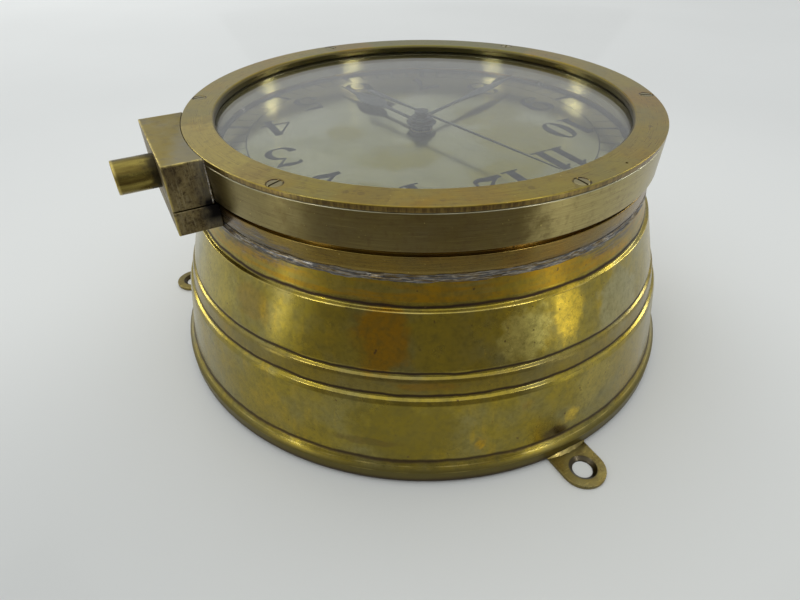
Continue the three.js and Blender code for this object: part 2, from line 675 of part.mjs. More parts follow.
// The balance: a rim on two arms, its staff, and the roller with the impulse pin
function balanceWheel() {
  const rim = tube(balanceR - 2, balanceR, balanceZ[0], balanceZ[1], 20);
  const arms = block([-balanceR + 1, balanceR - 1], [-1, 1], balanceZ);
  const staff = rod(0.7, REAR_PLATE_Z[0] + 0.3, cockZ[1] - 0.3, 8);
  const roller = rod(2.4, 45.4, 46, 12);
  const pin = rod(0.35, 44.9, 45.6, 6, [0, 1.8]);
  return union(staff, rim, arms, roller, pin);
}

// A flat spiral from the collet out to the stud
function hairspring() {
  const turns = 3.5;
  const steps = 16 * turns;
  const edge = (offset) => Array.from({ length: steps + 1 }, (_, i) => {
    const angle = (TAU * turns * i) / steps;
    const radius = 1.5 + (5.6 * i) / steps + offset;
    return [radius * Math.cos(angle), radius * Math.sin(angle)];
  });
  return sheet([...edge(0.12), ...edge(-0.12).reverse()], 50, 50.8);
}

function hairspringCollet() {
  return tube(1.0, 1.7, 49.8, 51, 12);
}

function balanceCock() {
  const foot = block([balanceR + 2, balanceR + 6], [-3.5, 3.5], [REAR_PLATE_Z[1] + 0.1, cockZ[1]]);
  const arm = block([-2.5, balanceR + 2.5], [-2.5, 2.5], cockZ);
  return cut(union(foot, arm), rod(1.1, 50, 60, 8));
}

add('escape_wheel', escapeWheel(), MOVEMENT_BRASS, escape);
add('pallet_lever', palletLever(), STEEL, leverPivot, leverTurn);
add('balance_wheel', balanceWheel(), MOVEMENT_BRASS, balance, leverTurn);
add('hairspring', union(hairspring(), hairspringCollet()), BLUED_STEEL, balance);
add('balance_cock', balanceCock(), MOVEMENT_BRASS, balance, rad(-15));

// ---------------------------------------------------------------- hands
const clockwise = (degrees) => -rad(degrees);

// Mirror a list of right-hand outline points, from the tail up to the tip, about the Y axis
function mirrored(right) {
  return [...right, ...right.slice().reverse().filter(([x]) => x > 0).map(([x, y]) => [-x, y])];
}

function hubbed(outline, [z0, z1], hubR, holeR) {
  const hub = rod(hubR, z0 - 0.3, z1 + 0.3, 24);
  return cut(union(sheet(outline, z0, z1), hub), rod(holeR, z0 - 1, z1 + 1, 20));
}

// A spade hour hand: slim stem, broad lozenge, long point
const hourOutline = mirrored([
  [0.9, -0.5], [0.8, 20], [1.0, 23], [2.6, 26], [4.6, 30.5], [4.8, 33.5], [3.8, 38], [1.8, 43], [0.9, 47], [0, 58.5],
]);
// A leaf minute hand
const minuteOutline = mirrored([
  [0.9, -0.5], [0.8, 24], [1.5, 32], [2.4, 40], [2.5, 45], [1.8, 53], [0.9, 60], [0, 69],
]);
// A needle seconds hand with a long flat tail
const secondOutline = mirrored([
  [0.9, -34], [1.5, -31], [1.2, -22], [0.5, -8], [0.45, 0], [0.35, 40], [0, 67],
]);

function secondHand() {
  return hubbed(secondOutline, secondHandZ, 1.9, 0.9);
}

add('hour_hand', hubbed(hourOutline, hourHandZ, 5.6, hourPipe[1] + GAP), BLUED_STEEL, centre, clockwise(HOUR_AT));
add('minute_hand', hubbed(minuteOutline, minuteHandZ, 4.4, cannonTube[1] + GAP), BLUED_STEEL, centre,
  clockwise(MINUTE_AT));
add('seconds_hand', secondHand(), BLUED_STEEL, centre, clockwise(SECOND_AT));

export default clock;
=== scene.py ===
"""Looks for the brass ship's deck clock: fine turned shapes, patinated brass, a silvered dial
under glass, and a soft pale studio. Metres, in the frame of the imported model."""
import json
import math

import bmesh
import bpy
from mathutils import Matrix, Vector, noise


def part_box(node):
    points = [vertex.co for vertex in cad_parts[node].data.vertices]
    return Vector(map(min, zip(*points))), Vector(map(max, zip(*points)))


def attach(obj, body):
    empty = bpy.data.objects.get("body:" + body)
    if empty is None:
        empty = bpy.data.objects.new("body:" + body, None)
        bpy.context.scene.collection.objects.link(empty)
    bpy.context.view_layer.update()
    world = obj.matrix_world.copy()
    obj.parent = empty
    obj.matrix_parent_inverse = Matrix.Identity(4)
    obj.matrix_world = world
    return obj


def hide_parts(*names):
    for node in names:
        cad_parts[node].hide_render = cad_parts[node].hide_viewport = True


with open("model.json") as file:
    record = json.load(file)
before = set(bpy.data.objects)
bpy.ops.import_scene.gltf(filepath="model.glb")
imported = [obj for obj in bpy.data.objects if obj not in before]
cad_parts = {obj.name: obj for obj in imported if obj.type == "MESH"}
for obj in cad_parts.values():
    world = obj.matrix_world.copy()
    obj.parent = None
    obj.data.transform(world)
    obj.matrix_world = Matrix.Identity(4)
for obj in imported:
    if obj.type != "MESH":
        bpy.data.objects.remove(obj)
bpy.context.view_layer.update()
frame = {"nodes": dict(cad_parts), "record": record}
NODES = frame["nodes"]
MM = 0.001
TAU = 2 * math.pi
RING_SEGMENTS = 240


def low(node):
    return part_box(node)[0] / MM


def high(node):
    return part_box(node)[1] / MM


# ------------------------------------------------------------------ driving sizes, in mm
BASE_R = high("case_body").y
NECK_TOP = high("case_body").z
FLANGE_R = high("case_flange").y
FLANGE_LOW = low("case_flange").z
SPIGOT_TOP = high("case_flange").z
FLANGE_TOP = SPIGOT_TOP - 2.9
SPIGOT_R = FLANGE_R - 1.5
BEZEL_R = high("bezel_band").y
BAND_LOW = low("bezel_band").z
BAND_TOP = high("bezel_band").z
RING_TOP = high("retaining_ring").z
RING_LIP_LOW = low("retaining_ring").z
OPENING_R = BEZEL_R - 11.3
BAND_INNER_R = BEZEL_R - 9.9
GLASS_R = high("glass").y
GLASS_LOW = low("glass").z
GLASS_TOP = high("glass").z
DIAL_R = high("dial").y
DIAL_LOW = low("dial").z
DIAL_TOP = high("dial").z
BACK_R = high("back_plate").y
BACK_T = high("back_plate").z
LOCK_Z = (low("lock_barrel").z + high("lock_barrel").z) / 2
BARREL_R = (high("lock_barrel").z - low("lock_barrel").z) / 2
HINGE_X = (low("hinge_pin").x + high("hinge_pin").x) / 2
HINGE_Z = (low("hinge_pin").z + high("hinge_pin").z) / 2
SCREW_RING_R = math.hypot(*(((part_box("bezel_screw_1")[0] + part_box("bezel_screw_1")[1]) / 2 / MM).xy))
SCREW_ANGLES = [31.5 + 60 * i for i in range(6)]
LUG_ANGLES = {"12": 90, "4": -34.5, "8": 214.5}
LUG_HALF_W = (high("mounting_lug_12").x - low("mounting_lug_12").x) / 2
LUG_HOLE_AT = high("mounting_lug_12").y - LUG_HALF_W


# ------------------------------------------------------------------ mesh helpers
def polar(radius, degrees, z=0.0):
    turn = math.radians(degrees)
    return Vector((radius * math.cos(turn), radius * math.sin(turn), z))


def rounded(corners, steps=4):
    """A closed outline from (r, z, fillet) corners. A fillet is the length it takes from each
    side, and a support point just past it keeps the shading of the flat parts flat."""
    points = []
    count = len(corners)
    for i, (r, z, fillet) in enumerate(corners):
        here = Vector((r, z))
        before = Vector(corners[i - 1][:2])
        after = Vector(corners[(i + 1) % count][:2])
        if not fillet:
            points.append(here)
            continue
        back = (before - here).normalized()
        on = (after - here).normalized()
        points.append(here + back * fillet * 1.35)
        for k in range(steps + 1):
            t = k / steps
            a = here + back * fillet * (1 - t)
            b = here + on * fillet * t
            points.append(a.lerp(b, t))
        points.append(here + on * fillet * 1.35)
    return points


def as_mesh(bm, name="part"):
    mesh = bpy.data.meshes.new(name)
    bm.to_mesh(mesh)
    bm.free()
    return mesh


def as_object(name, data, material=None):
    obj = bpy.data.objects.new(name, data)
    bpy.context.scene.collection.objects.link(obj)
    if material:
        data.materials.append(material)
    return obj


def finish_mesh(bm, name, smooth_angle):
    """The mesh of bm, in metres, shaded smooth with edges over smooth_angle kept sharp."""
    bmesh.ops.recalc_face_normals(bm, faces=bm.faces)
    limit = math.radians(smooth_angle)
    for face in bm.faces:
        face.smooth = True
    for edge in bm.edges:
        if len(edge.link_faces) == 2:
            edge.smooth = edge.calc_face_angle(0) < limit
    bmesh.ops.scale(bm, vec=(MM, MM, MM), verts=bm.verts)
    return as_mesh(bm, name)


def lathe_bm(outline, segments=RING_SEGMENTS, wobble=None):
    """A solid of revolution about Z. Points on the axis become one vertex. wobble(angle, i)
    moves a point by (dr, dz)."""
    bm = bmesh.new()
    rings = []
    for i, (r, z) in enumerate(outline):
        if r < 1e-6:
            rings.append([bm.verts.new((0, 0, z))] * segments)
            continue
        ring = []
        for k in range(segments):
            turn = TAU * k / segments
            dr, dz = wobble(turn, i) if wobble else (0.0, 0.0)
            ring.append(bm.verts.new(((r + dr) * math.cos(turn), (r + dr) * math.sin(turn), z + dz)))
        rings.append(ring)
    for i, ring in enumerate(rings):
        after = rings[(i + 1) % len(rings)]
        for k in range(segments):
            k2 = (k + 1) % segments
            corners = [ring[k], ring[k2], after[k2], after[k]]
            unique = list(dict.fromkeys(corners))
            if len(unique) > 2:
                bm.faces.new(unique)
    return bm


def prism_bm(outline, z0, z1, bevel=0.0, bevel_steps=2, bevel_angle=30):
    """An upright prism of an XY outline, its edges over bevel_angle rounded by bevel."""
    bm = bmesh.new()
    bottom = [bm.verts.new((x, y, z0)) for x, y in outline]
    top = [bm.verts.new((x, y, z1)) for x, y in outline]
    count = len(outline)
    bm.faces.new(list(reversed(bottom)))
    bm.faces.new(top)
    for i in range(count):
        j = (i + 1) % count
        bm.faces.new([bottom[i], bottom[j], top[j], top[i]])
    bmesh.ops.recalc_face_normals(bm, faces=bm.faces)
    if bevel:
        bevel_edges(bm, bevel, bevel_steps, bevel_angle)
    return bm


def bevel_edges(bm, width, steps, angle):
    limit = math.radians(angle)
    edges = [e for e in bm.edges if len(e.link_faces) == 2 and e.calc_face_angle(0) > limit]
    bmesh.ops.bevel(bm, geom=edges, offset=width, segments=steps, profile=0.5, affect="EDGES",
                    clamp_overlap=True)


def block_bm(lowest, highest, bevel=0.0):
    (x0, y0, z0), (x1, y1, z1) = lowest, highest
    return prism_bm([(x0, y0), (x1, y0), (x1, y1), (x0, y1)], z0, z1, bevel)


def shift_bm(bm, shift):
    bmesh.ops.translate(bm, vec=shift, verts=bm.verts)
    return bm


def turn_bm(bm, angle, axis, shift=(0, 0, 0)):
    bmesh.ops.rotate(bm, cent=(0, 0, 0), matrix=Matrix.Rotation(angle, 3, axis), verts=bm.verts)
    return shift_bm(bm, shift)


def rod_bm(radius, z0, z1, segments=48, bevel=0.0):
    corners = [(0, z0, 0), (radius, z0, bevel), (radius, z1, bevel), (0, z1, 0)]
    return lathe_bm(rounded(corners, 2), segments)


def joined(*parts):
    """One bmesh that holds all the given ones."""
    whole = bmesh.new()
    for part in parts:
        mesh = as_mesh(part)
        whole.from_mesh(mesh)
        bpy.data.meshes.remove(mesh)
    return whole


def carved(bm, *cutters):
    """bm less the cutters, as a new bmesh."""
    body, *tools = [as_object("part", as_mesh(part)) for part in (bm, *cutters)]
    for tool in tools:
        modifier = body.modifiers.new("cut", "BOOLEAN")
        modifier.operation = "DIFFERENCE"
        modifier.solver = "EXACT"
        modifier.object = tool
    bpy.context.view_layer.update()
    evaluated = body.evaluated_get(bpy.context.evaluated_depsgraph_get())
    result = bmesh.new()
    result.from_mesh(evaluated.to_mesh())
    for obj in [body, *tools]:
        mesh = obj.data
        bpy.data.objects.remove(obj)
        bpy.data.meshes.remove(mesh)
    return result


def piece(name, bm, body, material, replaces=(), smooth_angle=32):
    """Adds bm as one piece of the clock that rides on a body."""
    obj = as_object(name, finish_mesh(bm, name, smooth_angle), material)
    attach(obj, body)
    if replaces:
        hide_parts(*replaces)
    return obj


# ------------------------------------------------------------------ material helpers
class Nodes:
    """A node tree written as short calls. A socket or a number goes anywhere."""

    def __init__(self, tree):
        self.tree = tree

    def node(self, kind, inputs=(), **settings):
        node = self.tree.nodes.new(kind)
        for key, value in settings.items():
            setattr(node, key, value)
        for key, value in dict(inputs).items():
            self.feed(node.inputs[key], value)
        return node

    def feed(self, socket, value):
        if isinstance(value, bpy.types.NodeSocket):
            self.tree.links.new(value, socket)
        elif socket.type == "RGBA":
            socket.default_value = (*value, 1.0)
        else:
            socket.default_value = value

    def math(self, operation, a, b=0.0, clamp=False):
        node = self.node("ShaderNodeMath", {0: a, 1: b}, operation=operation, use_clamp=clamp)
        return node.outputs[0]

    def times(self, a, b):
        return self.math("MULTIPLY", a, b)

    def plus(self, a, b):
        return self.math("ADD", a, b)

    def minus(self, a, b):
        return self.math("SUBTRACT", a, b)

    def strongest(self, masks):
        total = masks[0]
        for mask in masks[1:]:
            total = self.math("MAXIMUM", total, mask)
        return total

    def vector(self, operation, *values):
        """A vector, or the number that LENGTH and DOT_PRODUCT give."""
        node = self.node("ShaderNodeVectorMath", dict(enumerate(values)), operation=operation)
        return node.outputs["Value" if operation in ("LENGTH", "DOT_PRODUCT") else "Vector"]

    def mix(self, factor, a, b, blend="MIX"):
        """a and b are colours."""
        node = self.node("ShaderNodeMix", data_type="RGBA", blend_type=blend)
        self.feed(node.inputs["Factor"], factor)
        self.feed(node.inputs[6], a)
        self.feed(node.inputs[7], b)
        return node.outputs[2]

    def ramp(self, value, *stops):
        """A ramp of greys from (position, level) stops."""
        node = self.node("ShaderNodeValToRGB", {0: value})
        band = node.color_ramp
        while len(band.elements) < len(stops):
            band.elements.new(0.5)
        for element, (position, level) in zip(band.elements, stops):
            element.position = position
            element.color = (level, level, level, 1)
        return node.outputs[0]

    def between(self, value, start, end):
        """0 at start, 1 at end, and eased between them."""
        node = self.node("ShaderNodeMapRange", {"Value": value, "From Min": start, "From Max": end},
                         interpolation_type="SMOOTHSTEP")
        return node.outputs[0]


class Graph(Nodes):
    """A material made round one Principled shader. It knows the surface's point in the clock's
    own frame in millimetres, its x, y and z, and its radius r from the clock's axis."""

    def __init__(self, name, **fixed):
        self.material = bpy.data.materials.new(name)
        self.material.use_nodes = True
        super().__init__(self.material.node_tree)
        self.shader = self.tree.nodes["Principled BSDF"]
        for socket, value in fixed.items():
            self.feed(self.shader.inputs[socket.replace("_", " ")], value)
        here = self.node("ShaderNodeTexCoord").outputs["Object"]
        self.point = self.node("ShaderNodeVectorMath", {0: here, 3: 1 / MM}, operation="SCALE").outputs[0]
        self.x, self.y, self.z = self.node("ShaderNodeSeparateXYZ", {0: self.point}).outputs
        squares = self.plus(self.times(self.x, self.x), self.times(self.y, self.y))
        self.r = self.math("SQRT", squares)

    def paint(self, mask, colour):
        """Lays a colour over the surface's own where mask is 1."""
        self.tint = self.mix(mask, self.tint, colour)

    def finished(self, roughness, *bumps):
        """The material, with its colour, its roughness and its bump layers."""
        self.feed(self.shader.inputs["Base Color"], self.tint)
        self.feed(self.shader.inputs["Roughness"], roughness)
        if bumps:
            self.bump(*bumps)
        return self.material

    def noise(self, scale, detail=3.0, roughness=0.5, at=None, w=None):
        """Noise over the surface, or over another vector, with scale in cells per millimetre."""
        settings = {"noise_dimensions": "4D"} if w is not None else {}
        values = {"Vector": self.point if at is None else at, "Scale": scale, "Detail": detail,
                  "Roughness": roughness}
        node = self.node("ShaderNodeTexNoise", values, **settings)
        if w is not None:
            self.feed(node.inputs["W"], w)
        return node.outputs["Fac"]

    def drawn(self, stretch, detail, roughness):
        """Noise with its own scale along each axis."""
        return self.noise(1.0, detail, roughness, self.vector("MULTIPLY", self.point, stretch))

    def clouds(self, scale, detail, roughness, start, end, strength=1.0):
        """A mask that is 0 where the noise is under start, and strength where it is over end."""
        return self.ramp(self.noise(scale, detail, roughness), (start, 0.0), (end, strength))

    def ragged(self, scale, detail, roughness, amount):
        """Noise about 0, to break up an edge."""
        return self.times(self.minus(self.noise(scale, detail, roughness), 0.5), amount)

    def brushed(self, along, across, detail=2.0):
        """Noise drawn out round the axis: along is its grain round the circle, per radian, and
        across its grain over radius and height, per millimetre."""
        turn_x = self.times(self.math("DIVIDE", self.x, self.r), along)
        turn_y = self.times(self.math("DIVIDE", self.y, self.r), along)
        level = self.times(self.z, across)
        vector = self.node("ShaderNodeCombineXYZ", {0: turn_x, 1: turn_y, 2: level}).outputs[0]
        return self.noise(1.0, detail, 0.6, vector, self.times(self.r, across))

    def distance(self, centre, reach=(1, 1, 1)):
        """How far the surface is from centre, in units of reach along x, y and z."""
        offset = self.vector("SUBTRACT", self.point, centre)
        return self.vector("LENGTH", self.vector("MULTIPLY", offset, [1 / size for size in reach]))

    def blot(self, ragged, azimuth, z, wide, tall):
        """1 inside an oval patch on the case at an azimuth and height, with a ragged edge."""
        wall_r = BASE_R - 4 - 0.2 * z
        centre = polar(wall_r, azimuth, z)
        return self.between(self.plus(self.distance(centre, (wide, wide, tall)), ragged), 1.25, 0.75)

    def stain(self, rows, ragged):
        """Lays on (azimuth, height, half width, half height, colour, strength) stains."""
        for azimuth, level, wide, tall, tint, strength in rows:
            spot = self.blot(ragged, azimuth, level, wide, tall)
            self.paint(self.times(spot, strength), tint)

    def lathe_grain(self, amount):
        """Stretches highlights across the turning marks."""
        tangent = self.node("ShaderNodeTangent", direction_type="RADIAL", axis="Z")
        self.feed(self.shader.inputs["Tangent"], tangent.outputs[0])
        self.shader.inputs["Anisotropic"].default_value = amount
        self.shader.inputs["Anisotropic Rotation"].default_value = 0.25

    def bump(self, *layers):
        """layers are (height, strength, distance in mm), laid over each other."""
        normal = None
        for height, strength, distance in layers:
            node = self.node("ShaderNodeBump", {"Height": height, "Strength": strength,
                                                "Distance": distance * MM})
            if normal is not None:
                self.feed(node.inputs["Normal"], normal)
            normal = node.outputs[0]
        self.feed(self.shader.inputs["Normal"], normal)

    def band(self, value, centre, half, soft):
        """1 within half of centre, falling to 0 over soft."""
        distance = self.math("ABSOLUTE", self.minus(value, centre))
        return self.math("DIVIDE", self.minus(half + soft, distance), soft, clamp=True)


# ------------------------------------------------------------------ materials
OLIVE = (0.325, 0.250, 0.034)
PALE_BRASS = (0.62, 0.50, 0.16)
GOLD = (0.50, 0.345, 0.030)
GREY_GREEN = (0.25, 0.23, 0.105)
GRIME_AND_SHADE = (0.042, 0.026, 0.020)
UMBER = (0.13, 0.085, 0.035)
TIN = (0.172, 0.178, 0.188)
RUST_ORANGE = (0.39, 0.205, 0.014)
MOTTLED_GOLD = (0.62, 0.53, 0.15)
BRIGHT_GOLD = (0.74, 0.52, 0.055)


def patina(graph, clean, stain, dull, scale=0.028):
    """Clean metal with broad stains and duller clouds over it."""
    stained = graph.clouds(scale, 4.0, 0.55, 0.46, 0.68)
    dulled = graph.clouds(scale * 2.3, 5.0, 0.6, 0.42, 0.70, 0.75)
    graph.tint = graph.mix(dulled, graph.mix(stained, clean, stain), dull)


# Heights of the two recessed grooves, the shoulder and the base cove, from the back
COVE_Z = 8.8
GROOVE_1_Z = 33.9
GROOVE_2_Z = 41.0
SHOULDER_Z = 61.6
# Centre, half width, softness and darkness of the dark lines in them, the first row being painted shade
# at the base, and height and strength of the bright beads, worn and painted as highlights
GROOVES = [(0.8, 1.1, 1.6, 0.8), (COVE_Z + 0.1, 0.25, 0.7, 0.85), (GROOVE_1_Z + 0.3, 0.25, 0.5, 0.92),
           (GROOVE_2_Z + 0.35, 0.25, 0.5, 0.92), (SHOULDER_Z + 0.4, 0.25, 0.55, 0.95),
           (NECK_TOP, 0.2, 0.9, 0.4)]
BEAD_WEAR_AND_HIGHLIGHT = [(5.6, 0.3), (7.3, 0.95), (GROOVE_1_Z - 1.15, 0.35), (GROOVE_2_Z - 1.15, 0.35),
         (SHOULDER_Z - 0.95, 0.9)]
# Azimuth in degrees, height, half width, half height, colour and strength of the larger stains
STAINS = [(53, 51, 8.5, 12, RUST_ORANGE, 0.9), (81, 50, 8, 9, MOTTLED_GOLD, 0.85),
          (47, 47, 6, 6, OLIVE, 0.6), (64, 50, 8, 14, OLIVE, 0.7), (91, 52, 5.5, 11, BRIGHT_GOLD, 0.95),
          (88, 65, 5, 3.5, GOLD, 0.6), (106, 47, 11, 12, (0.34, 0.315, 0.17), 0.7),
          (71.6, 13, 3.4, 5.5, (0.62, 0.36, 0.02), 0.95), (87, 10.5, 6, 2.6, UMBER, 0.9),
          (91, 15, 4, 4, BRIGHT_GOLD, 0.8), (81, 26, 4, 4, RUST_ORANGE, 0.5),
          (111, 20, 2.2, 11, RUST_ORANGE, 0.5), (58, 20, 17, 13, (0.215, 0.165, 0.024), 0.75),
          (50, 15.5, 11, 1.6, UMBER, 0.45), (97, 24, 9, 9, (0.42, 0.34, 0.08), 0.6),
          (8, 50, 16, 13, (0.43, 0.355, 0.075), 0.6), (24, 52, 8, 6, RUST_ORANGE, 0.3),
          (30, 18, 9, 9, GOLD, 0.25), (62, 37.5, 9, 1.6, RUST_ORANGE, 0.6),
          (200, 48, 9, 11, RUST_ORANGE, 0.7), (262, 20, 12, 9, GOLD, 0.7), (305, 50, 8, 12, GOLD, 0.7),
          (232, 50, 12, 10, GREY_GREEN, 0.7), (330, 16, 8, 8, RUST_ORANGE, 0.7), (160, 18, 9, 9, GOLD, 0.6)]
RING_STAINS = [(240, 94, 52, 9, (0.195, 0.19, 0.055), 0.85), (50, 94, 7, 6, (0.27, 0.19, 0.040), 0.6),
               (72, 94, 6, 5, (0.34, 0.22, 0.04), 0.5), (10, 94, 26, 8, (0.49, 0.385, 0.095), 0.75),
               (24, 94, 6, 5, (0.30, 0.21, 0.06), 0.5), (150, 94, 9, 6, (0.33, 0.20, 0.04), 0.6),
               (265, 94, 10, 6, (0.33, 0.20, 0.04), 0.6)]
RING_STAINS += [(azimuth, 94, 1.0, 2, UMBER, 0.4) for azimuth in (45.8, 48.8, 81.4, 128, 196, 251)]


def spun_brass():
    """The case: polished olive brass with gold and orange stains, dark lines in the grooves, painted shade
    over the recessed band and at the base, and bright beads, worn and painted as highlights."""
    graph = Graph("spun_brass_patina", Metallic=1.0)
    z = graph.z
    patina(graph, OLIVE, (0.36, 0.265, 0.030), GREY_GREEN)
    runs = graph.drawn((0.16, 0.16, 0.03), 4.0, 0.6)
    graph.paint(graph.ramp(runs, (0.56, 0.0), (0.72, 0.55)), GOLD)
    ragged = graph.ragged(0.16, 4.0, 0.6, 1.5)
    graph.stain(STAINS, ragged)
    neck = graph.between(z, SHOULDER_Z + 1, SHOULDER_Z + 2)
    heat = graph.ramp(graph.brushed(3.4, 0.5, 4.0), (0.42, 0.1), (0.60, 0.85))
    graph.paint(graph.times(neck, heat), (0.43, 0.235, 0.014))
    tinned(graph)
    freckle = graph.clouds(0.22, 6.0, 0.7, 0.46, 0.70, 0.5)
    graph.paint(freckle, (0.17, 0.145, 0.04))
    fine = graph.clouds(0.6, 6.0, 0.75, 0.47, 0.64, 0.45)
    graph.paint(fine, (0.15, 0.125, 0.035))
    # Painted shade: the case darker below its lowest bead, down to the bottom.
    foot_shade = graph.times(graph.between(z, 7.4, 6.0), 0.82)
    graph.paint(foot_shade, (0.105, 0.086, 0.026))
    wander = graph.ragged(0.09, 3.0, 0.5, 1.3)
    level = graph.plus(z, wander)
    # Painted shade over the recessed band between the two grooves.
    recess_shade = graph.times(graph.band(z, (GROOVE_1_Z + GROOVE_2_Z) / 2, 2.6, 0.4), 0.28)
    graph.paint(recess_shade, UMBER)
    # Dark lines in the grooves; the first row is painted shade along the bottom edge.
    dirt = [graph.times(graph.band(level, *row[:3]), row[3]) for row in GROOVES]
    groove_lines_and_shade = graph.strongest(dirt)
    graph.paint(groove_lines_and_shade, GRIME_AND_SHADE)
    # Bright lines on the beads: worn brass, and painted highlight.
    worn = graph.strongest([graph.times(graph.band(z, bead, 0.05, 0.15), share) for bead, share in BEAD_WEAR_AND_HIGHLIGHT])
    rubbed = graph.ramp(graph.noise(0.10, 4.0), (0.44, 0.1), (0.64, 0.85))
    graph.paint(graph.times(worn, rubbed), PALE_BRASS)
    pits = graph.clouds(0.62, 1.0, 0.3, 0.775, 0.795, 0.85)
    graph.paint(pits, UMBER)
    smear = graph.noise(0.05, 5.0, 0.6)
    rough = graph.ramp(smear, (0.3, 0.17), (0.7, 0.30))
    rough = graph.mix(graph.times(neck, 0.7), rough, (0.38, 0.38, 0.38))
    rough = graph.mix(graph.math("MAXIMUM", groove_lines_and_shade, foot_shade), rough, (0.5, 0.5, 0.5))
    graph.lathe_grain(0.45)
    return graph.finished(rough, (graph.brushed(6.0, 9.0), 0.05, 0.03),
                          (graph.noise(0.06, 2.0), 0.30, 0.5), (graph.noise(1.2, 3.0), 0.05, 0.02))


def tinned(graph):
    """Smears of solder over the neck and flange, heaviest beside the lock."""
    ragged = graph.ragged(0.2, 4.0, 0.6, 1.4)
    near = graph.times(graph.blot(ragged, 19, NECK_TOP, 24, 5.0), 0.95)
    far = graph.times(graph.blot(ragged, 106, NECK_TOP - 1.5, 17, 4.5), 0.85)
    near = graph.math("MAXIMUM", near, far)
    streak = graph.ramp(graph.brushed(10.0, 1.6, 4.0), (0.42, 0.25), (0.60, 1.0))
    pale = graph.ramp(graph.brushed(20.0, 2.8, 3.0), (0.55, 0.0), (0.68, 0.8))
    grey = graph.mix(pale, (0.115, 0.105, 0.10), (0.34, 0.32, 0.29))
    graph.paint(graph.times(near, streak), grey)


def sheet_brass():
    """Lugs and back: plain sheet, handled and scratched, with painted shade in the lugs' holes."""
    graph = Graph("sheet_brass", Metallic=1.0)
    patina(graph, (0.235, 0.185, 0.055), (0.21, 0.14, 0.036), (0.16, 0.14, 0.065), 0.05)
    scratch = graph.drawn((0.25, 2.4, 1), 4.0, 0.7)
    graph.paint(graph.ramp(scratch, (0.58, 0.0), (0.72, 0.4)), PALE_BRASS)
    dark = graph.clouds(0.35, 5.0, 0.7, 0.50, 0.68, 0.6)
    graph.paint(dark, UMBER)
    # Painted shade in and round the lugs' holes.
    hole_shades = []
    for angle in LUG_ANGLES.values():
        hole_shades.append(graph.between(graph.distance(polar(LUG_HOLE_AT, angle, BACK_T)), 5.1, 4.5))
    graph.paint(graph.times(graph.strongest(hole_shades), 0.9), (0.055, 0.046, 0.034))
    rough = graph.ramp(graph.noise(0.3, 4.0), (0.3, 0.24), (0.7, 0.42))
    return graph.finished(rough, (scratch, 0.15, 0.03), (graph.noise(0.8, 4.0), 0.15, 0.05))


def turned_brass(name, clean, stain, dull, roughness=0.34, grain=1.0, streaks=0.4, bore_shine=0.0,
                 patches=(), marks_and_painted_light=None):
    """Lathe-finished brass with its lines round the axis. The last argument adds a part's own marks and
    painted light.
    """
    graph = Graph(name, Metallic=1.0)
    r = graph.r
    patina(graph, clean, stain, dull)
    ragged = graph.ragged(0.12, 5.0, 0.65, 1.8)
    graph.stain(patches, ragged)
    coarse = graph.brushed(7.0, 3.2, 5.0)
    graph.paint(graph.ramp(coarse, (0.34, streaks), (0.58, 0.0)), UMBER)
    graph.paint(graph.ramp(coarse, (0.60, 0.0), (0.76, streaks * 0.6)), PALE_BRASS)
    freckle = graph.clouds(0.5, 5.0, 0.65, 0.52, 0.68, 0.35)
    graph.paint(freckle, UMBER)
    specks = graph.clouds(1.3, 1.0, 0.3, 0.78, 0.81, 0.8)
    graph.paint(specks, PALE_BRASS)
    tinned(graph)
    bore = graph.times(graph.between(r, BEZEL_R - 3.6, BEZEL_R - 4.2), bore_shine)
    graph.paint(bore, (0.50, 0.44, 0.28))
    if marks_and_painted_light:
        marks_and_painted_light(graph)
    fine = graph.brushed(14.0, 14.0, 2.0)
    spread = graph.times(graph.minus(coarse, 0.5), 0.20)
    smooth = graph.minus(roughness, graph.times(bore, 0.12))
    graph.lathe_grain(0.35)
    return graph.finished(graph.math("ADD", spread, smooth, clamp=True), (fine, 0.22 * grain, 0.04),
                          (coarse, 0.10 * grain, 0.05))


def band_wear(graph):
    """A bright edge along the band's top: worn brass with a painted highlight."""
    z, r = graph.z, graph.r
    top = graph.between(z, BAND_TOP - 0.33, BAND_TOP - 0.22)
    outer = graph.between(r, BEZEL_R - 1.2, BEZEL_R - 0.8)
    worn = graph.ramp(graph.noise(0.08, 4.0), (0.32, 0.35), (0.52, 1.0))
    # Worn brass and a painted highlight along the top outer edge.
    edge_highlight = graph.times(graph.times(top, outer), worn)
    graph.paint(edge_highlight, (0.46, 0.44, 0.30))


def ring_wear(graph):
    """Dirt round the screws, painted shade in the bore, and a dark upright edge with fine tool marks."""
    x, y, z, r = graph.x, graph.y, graph.z, graph.r
    turn = graph.minus(graph.math("ARCTAN2", y, x), math.radians(SCREW_ANGLES[0]))
    across = graph.times(graph.math("PINGPONG", turn, math.radians(30)), r)
    out = graph.minus(r, SCREW_RING_R)
    squares = graph.plus(graph.times(across, across), graph.times(out, out))
    dirt = graph.band(graph.math("SQRT", squares), 2.4, 0.1, 0.4)
    broken = graph.ramp(graph.noise(0.7, 3.0), (0.35, 0.35), (0.58, 0.95))
    graph.paint(graph.times(dirt, broken), GRIME_AND_SHADE)
    # Painted shade in the ring's bore.
    bore = graph.between(r, OPENING_R + 0.75, OPENING_R + 0.35)
    graph.paint(graph.times(bore, 0.85), (0.085, 0.070, 0.030))
    wall = graph.times(graph.between(r, BEZEL_R - 0.45, BEZEL_R - 0.2),
                       graph.between(z, RING_TOP - 0.25, RING_TOP - 0.5))
    marks = graph.ramp(graph.brushed(150.0, 0.2, 1.0), (0.40, 0.0), (0.60, 1.0))
    tooled = graph.mix(marks, (0.120, 0.080, 0.040), (0.25, 0.175, 0.06))
    graph.paint(graph.times(wall, 0.85), tooled)


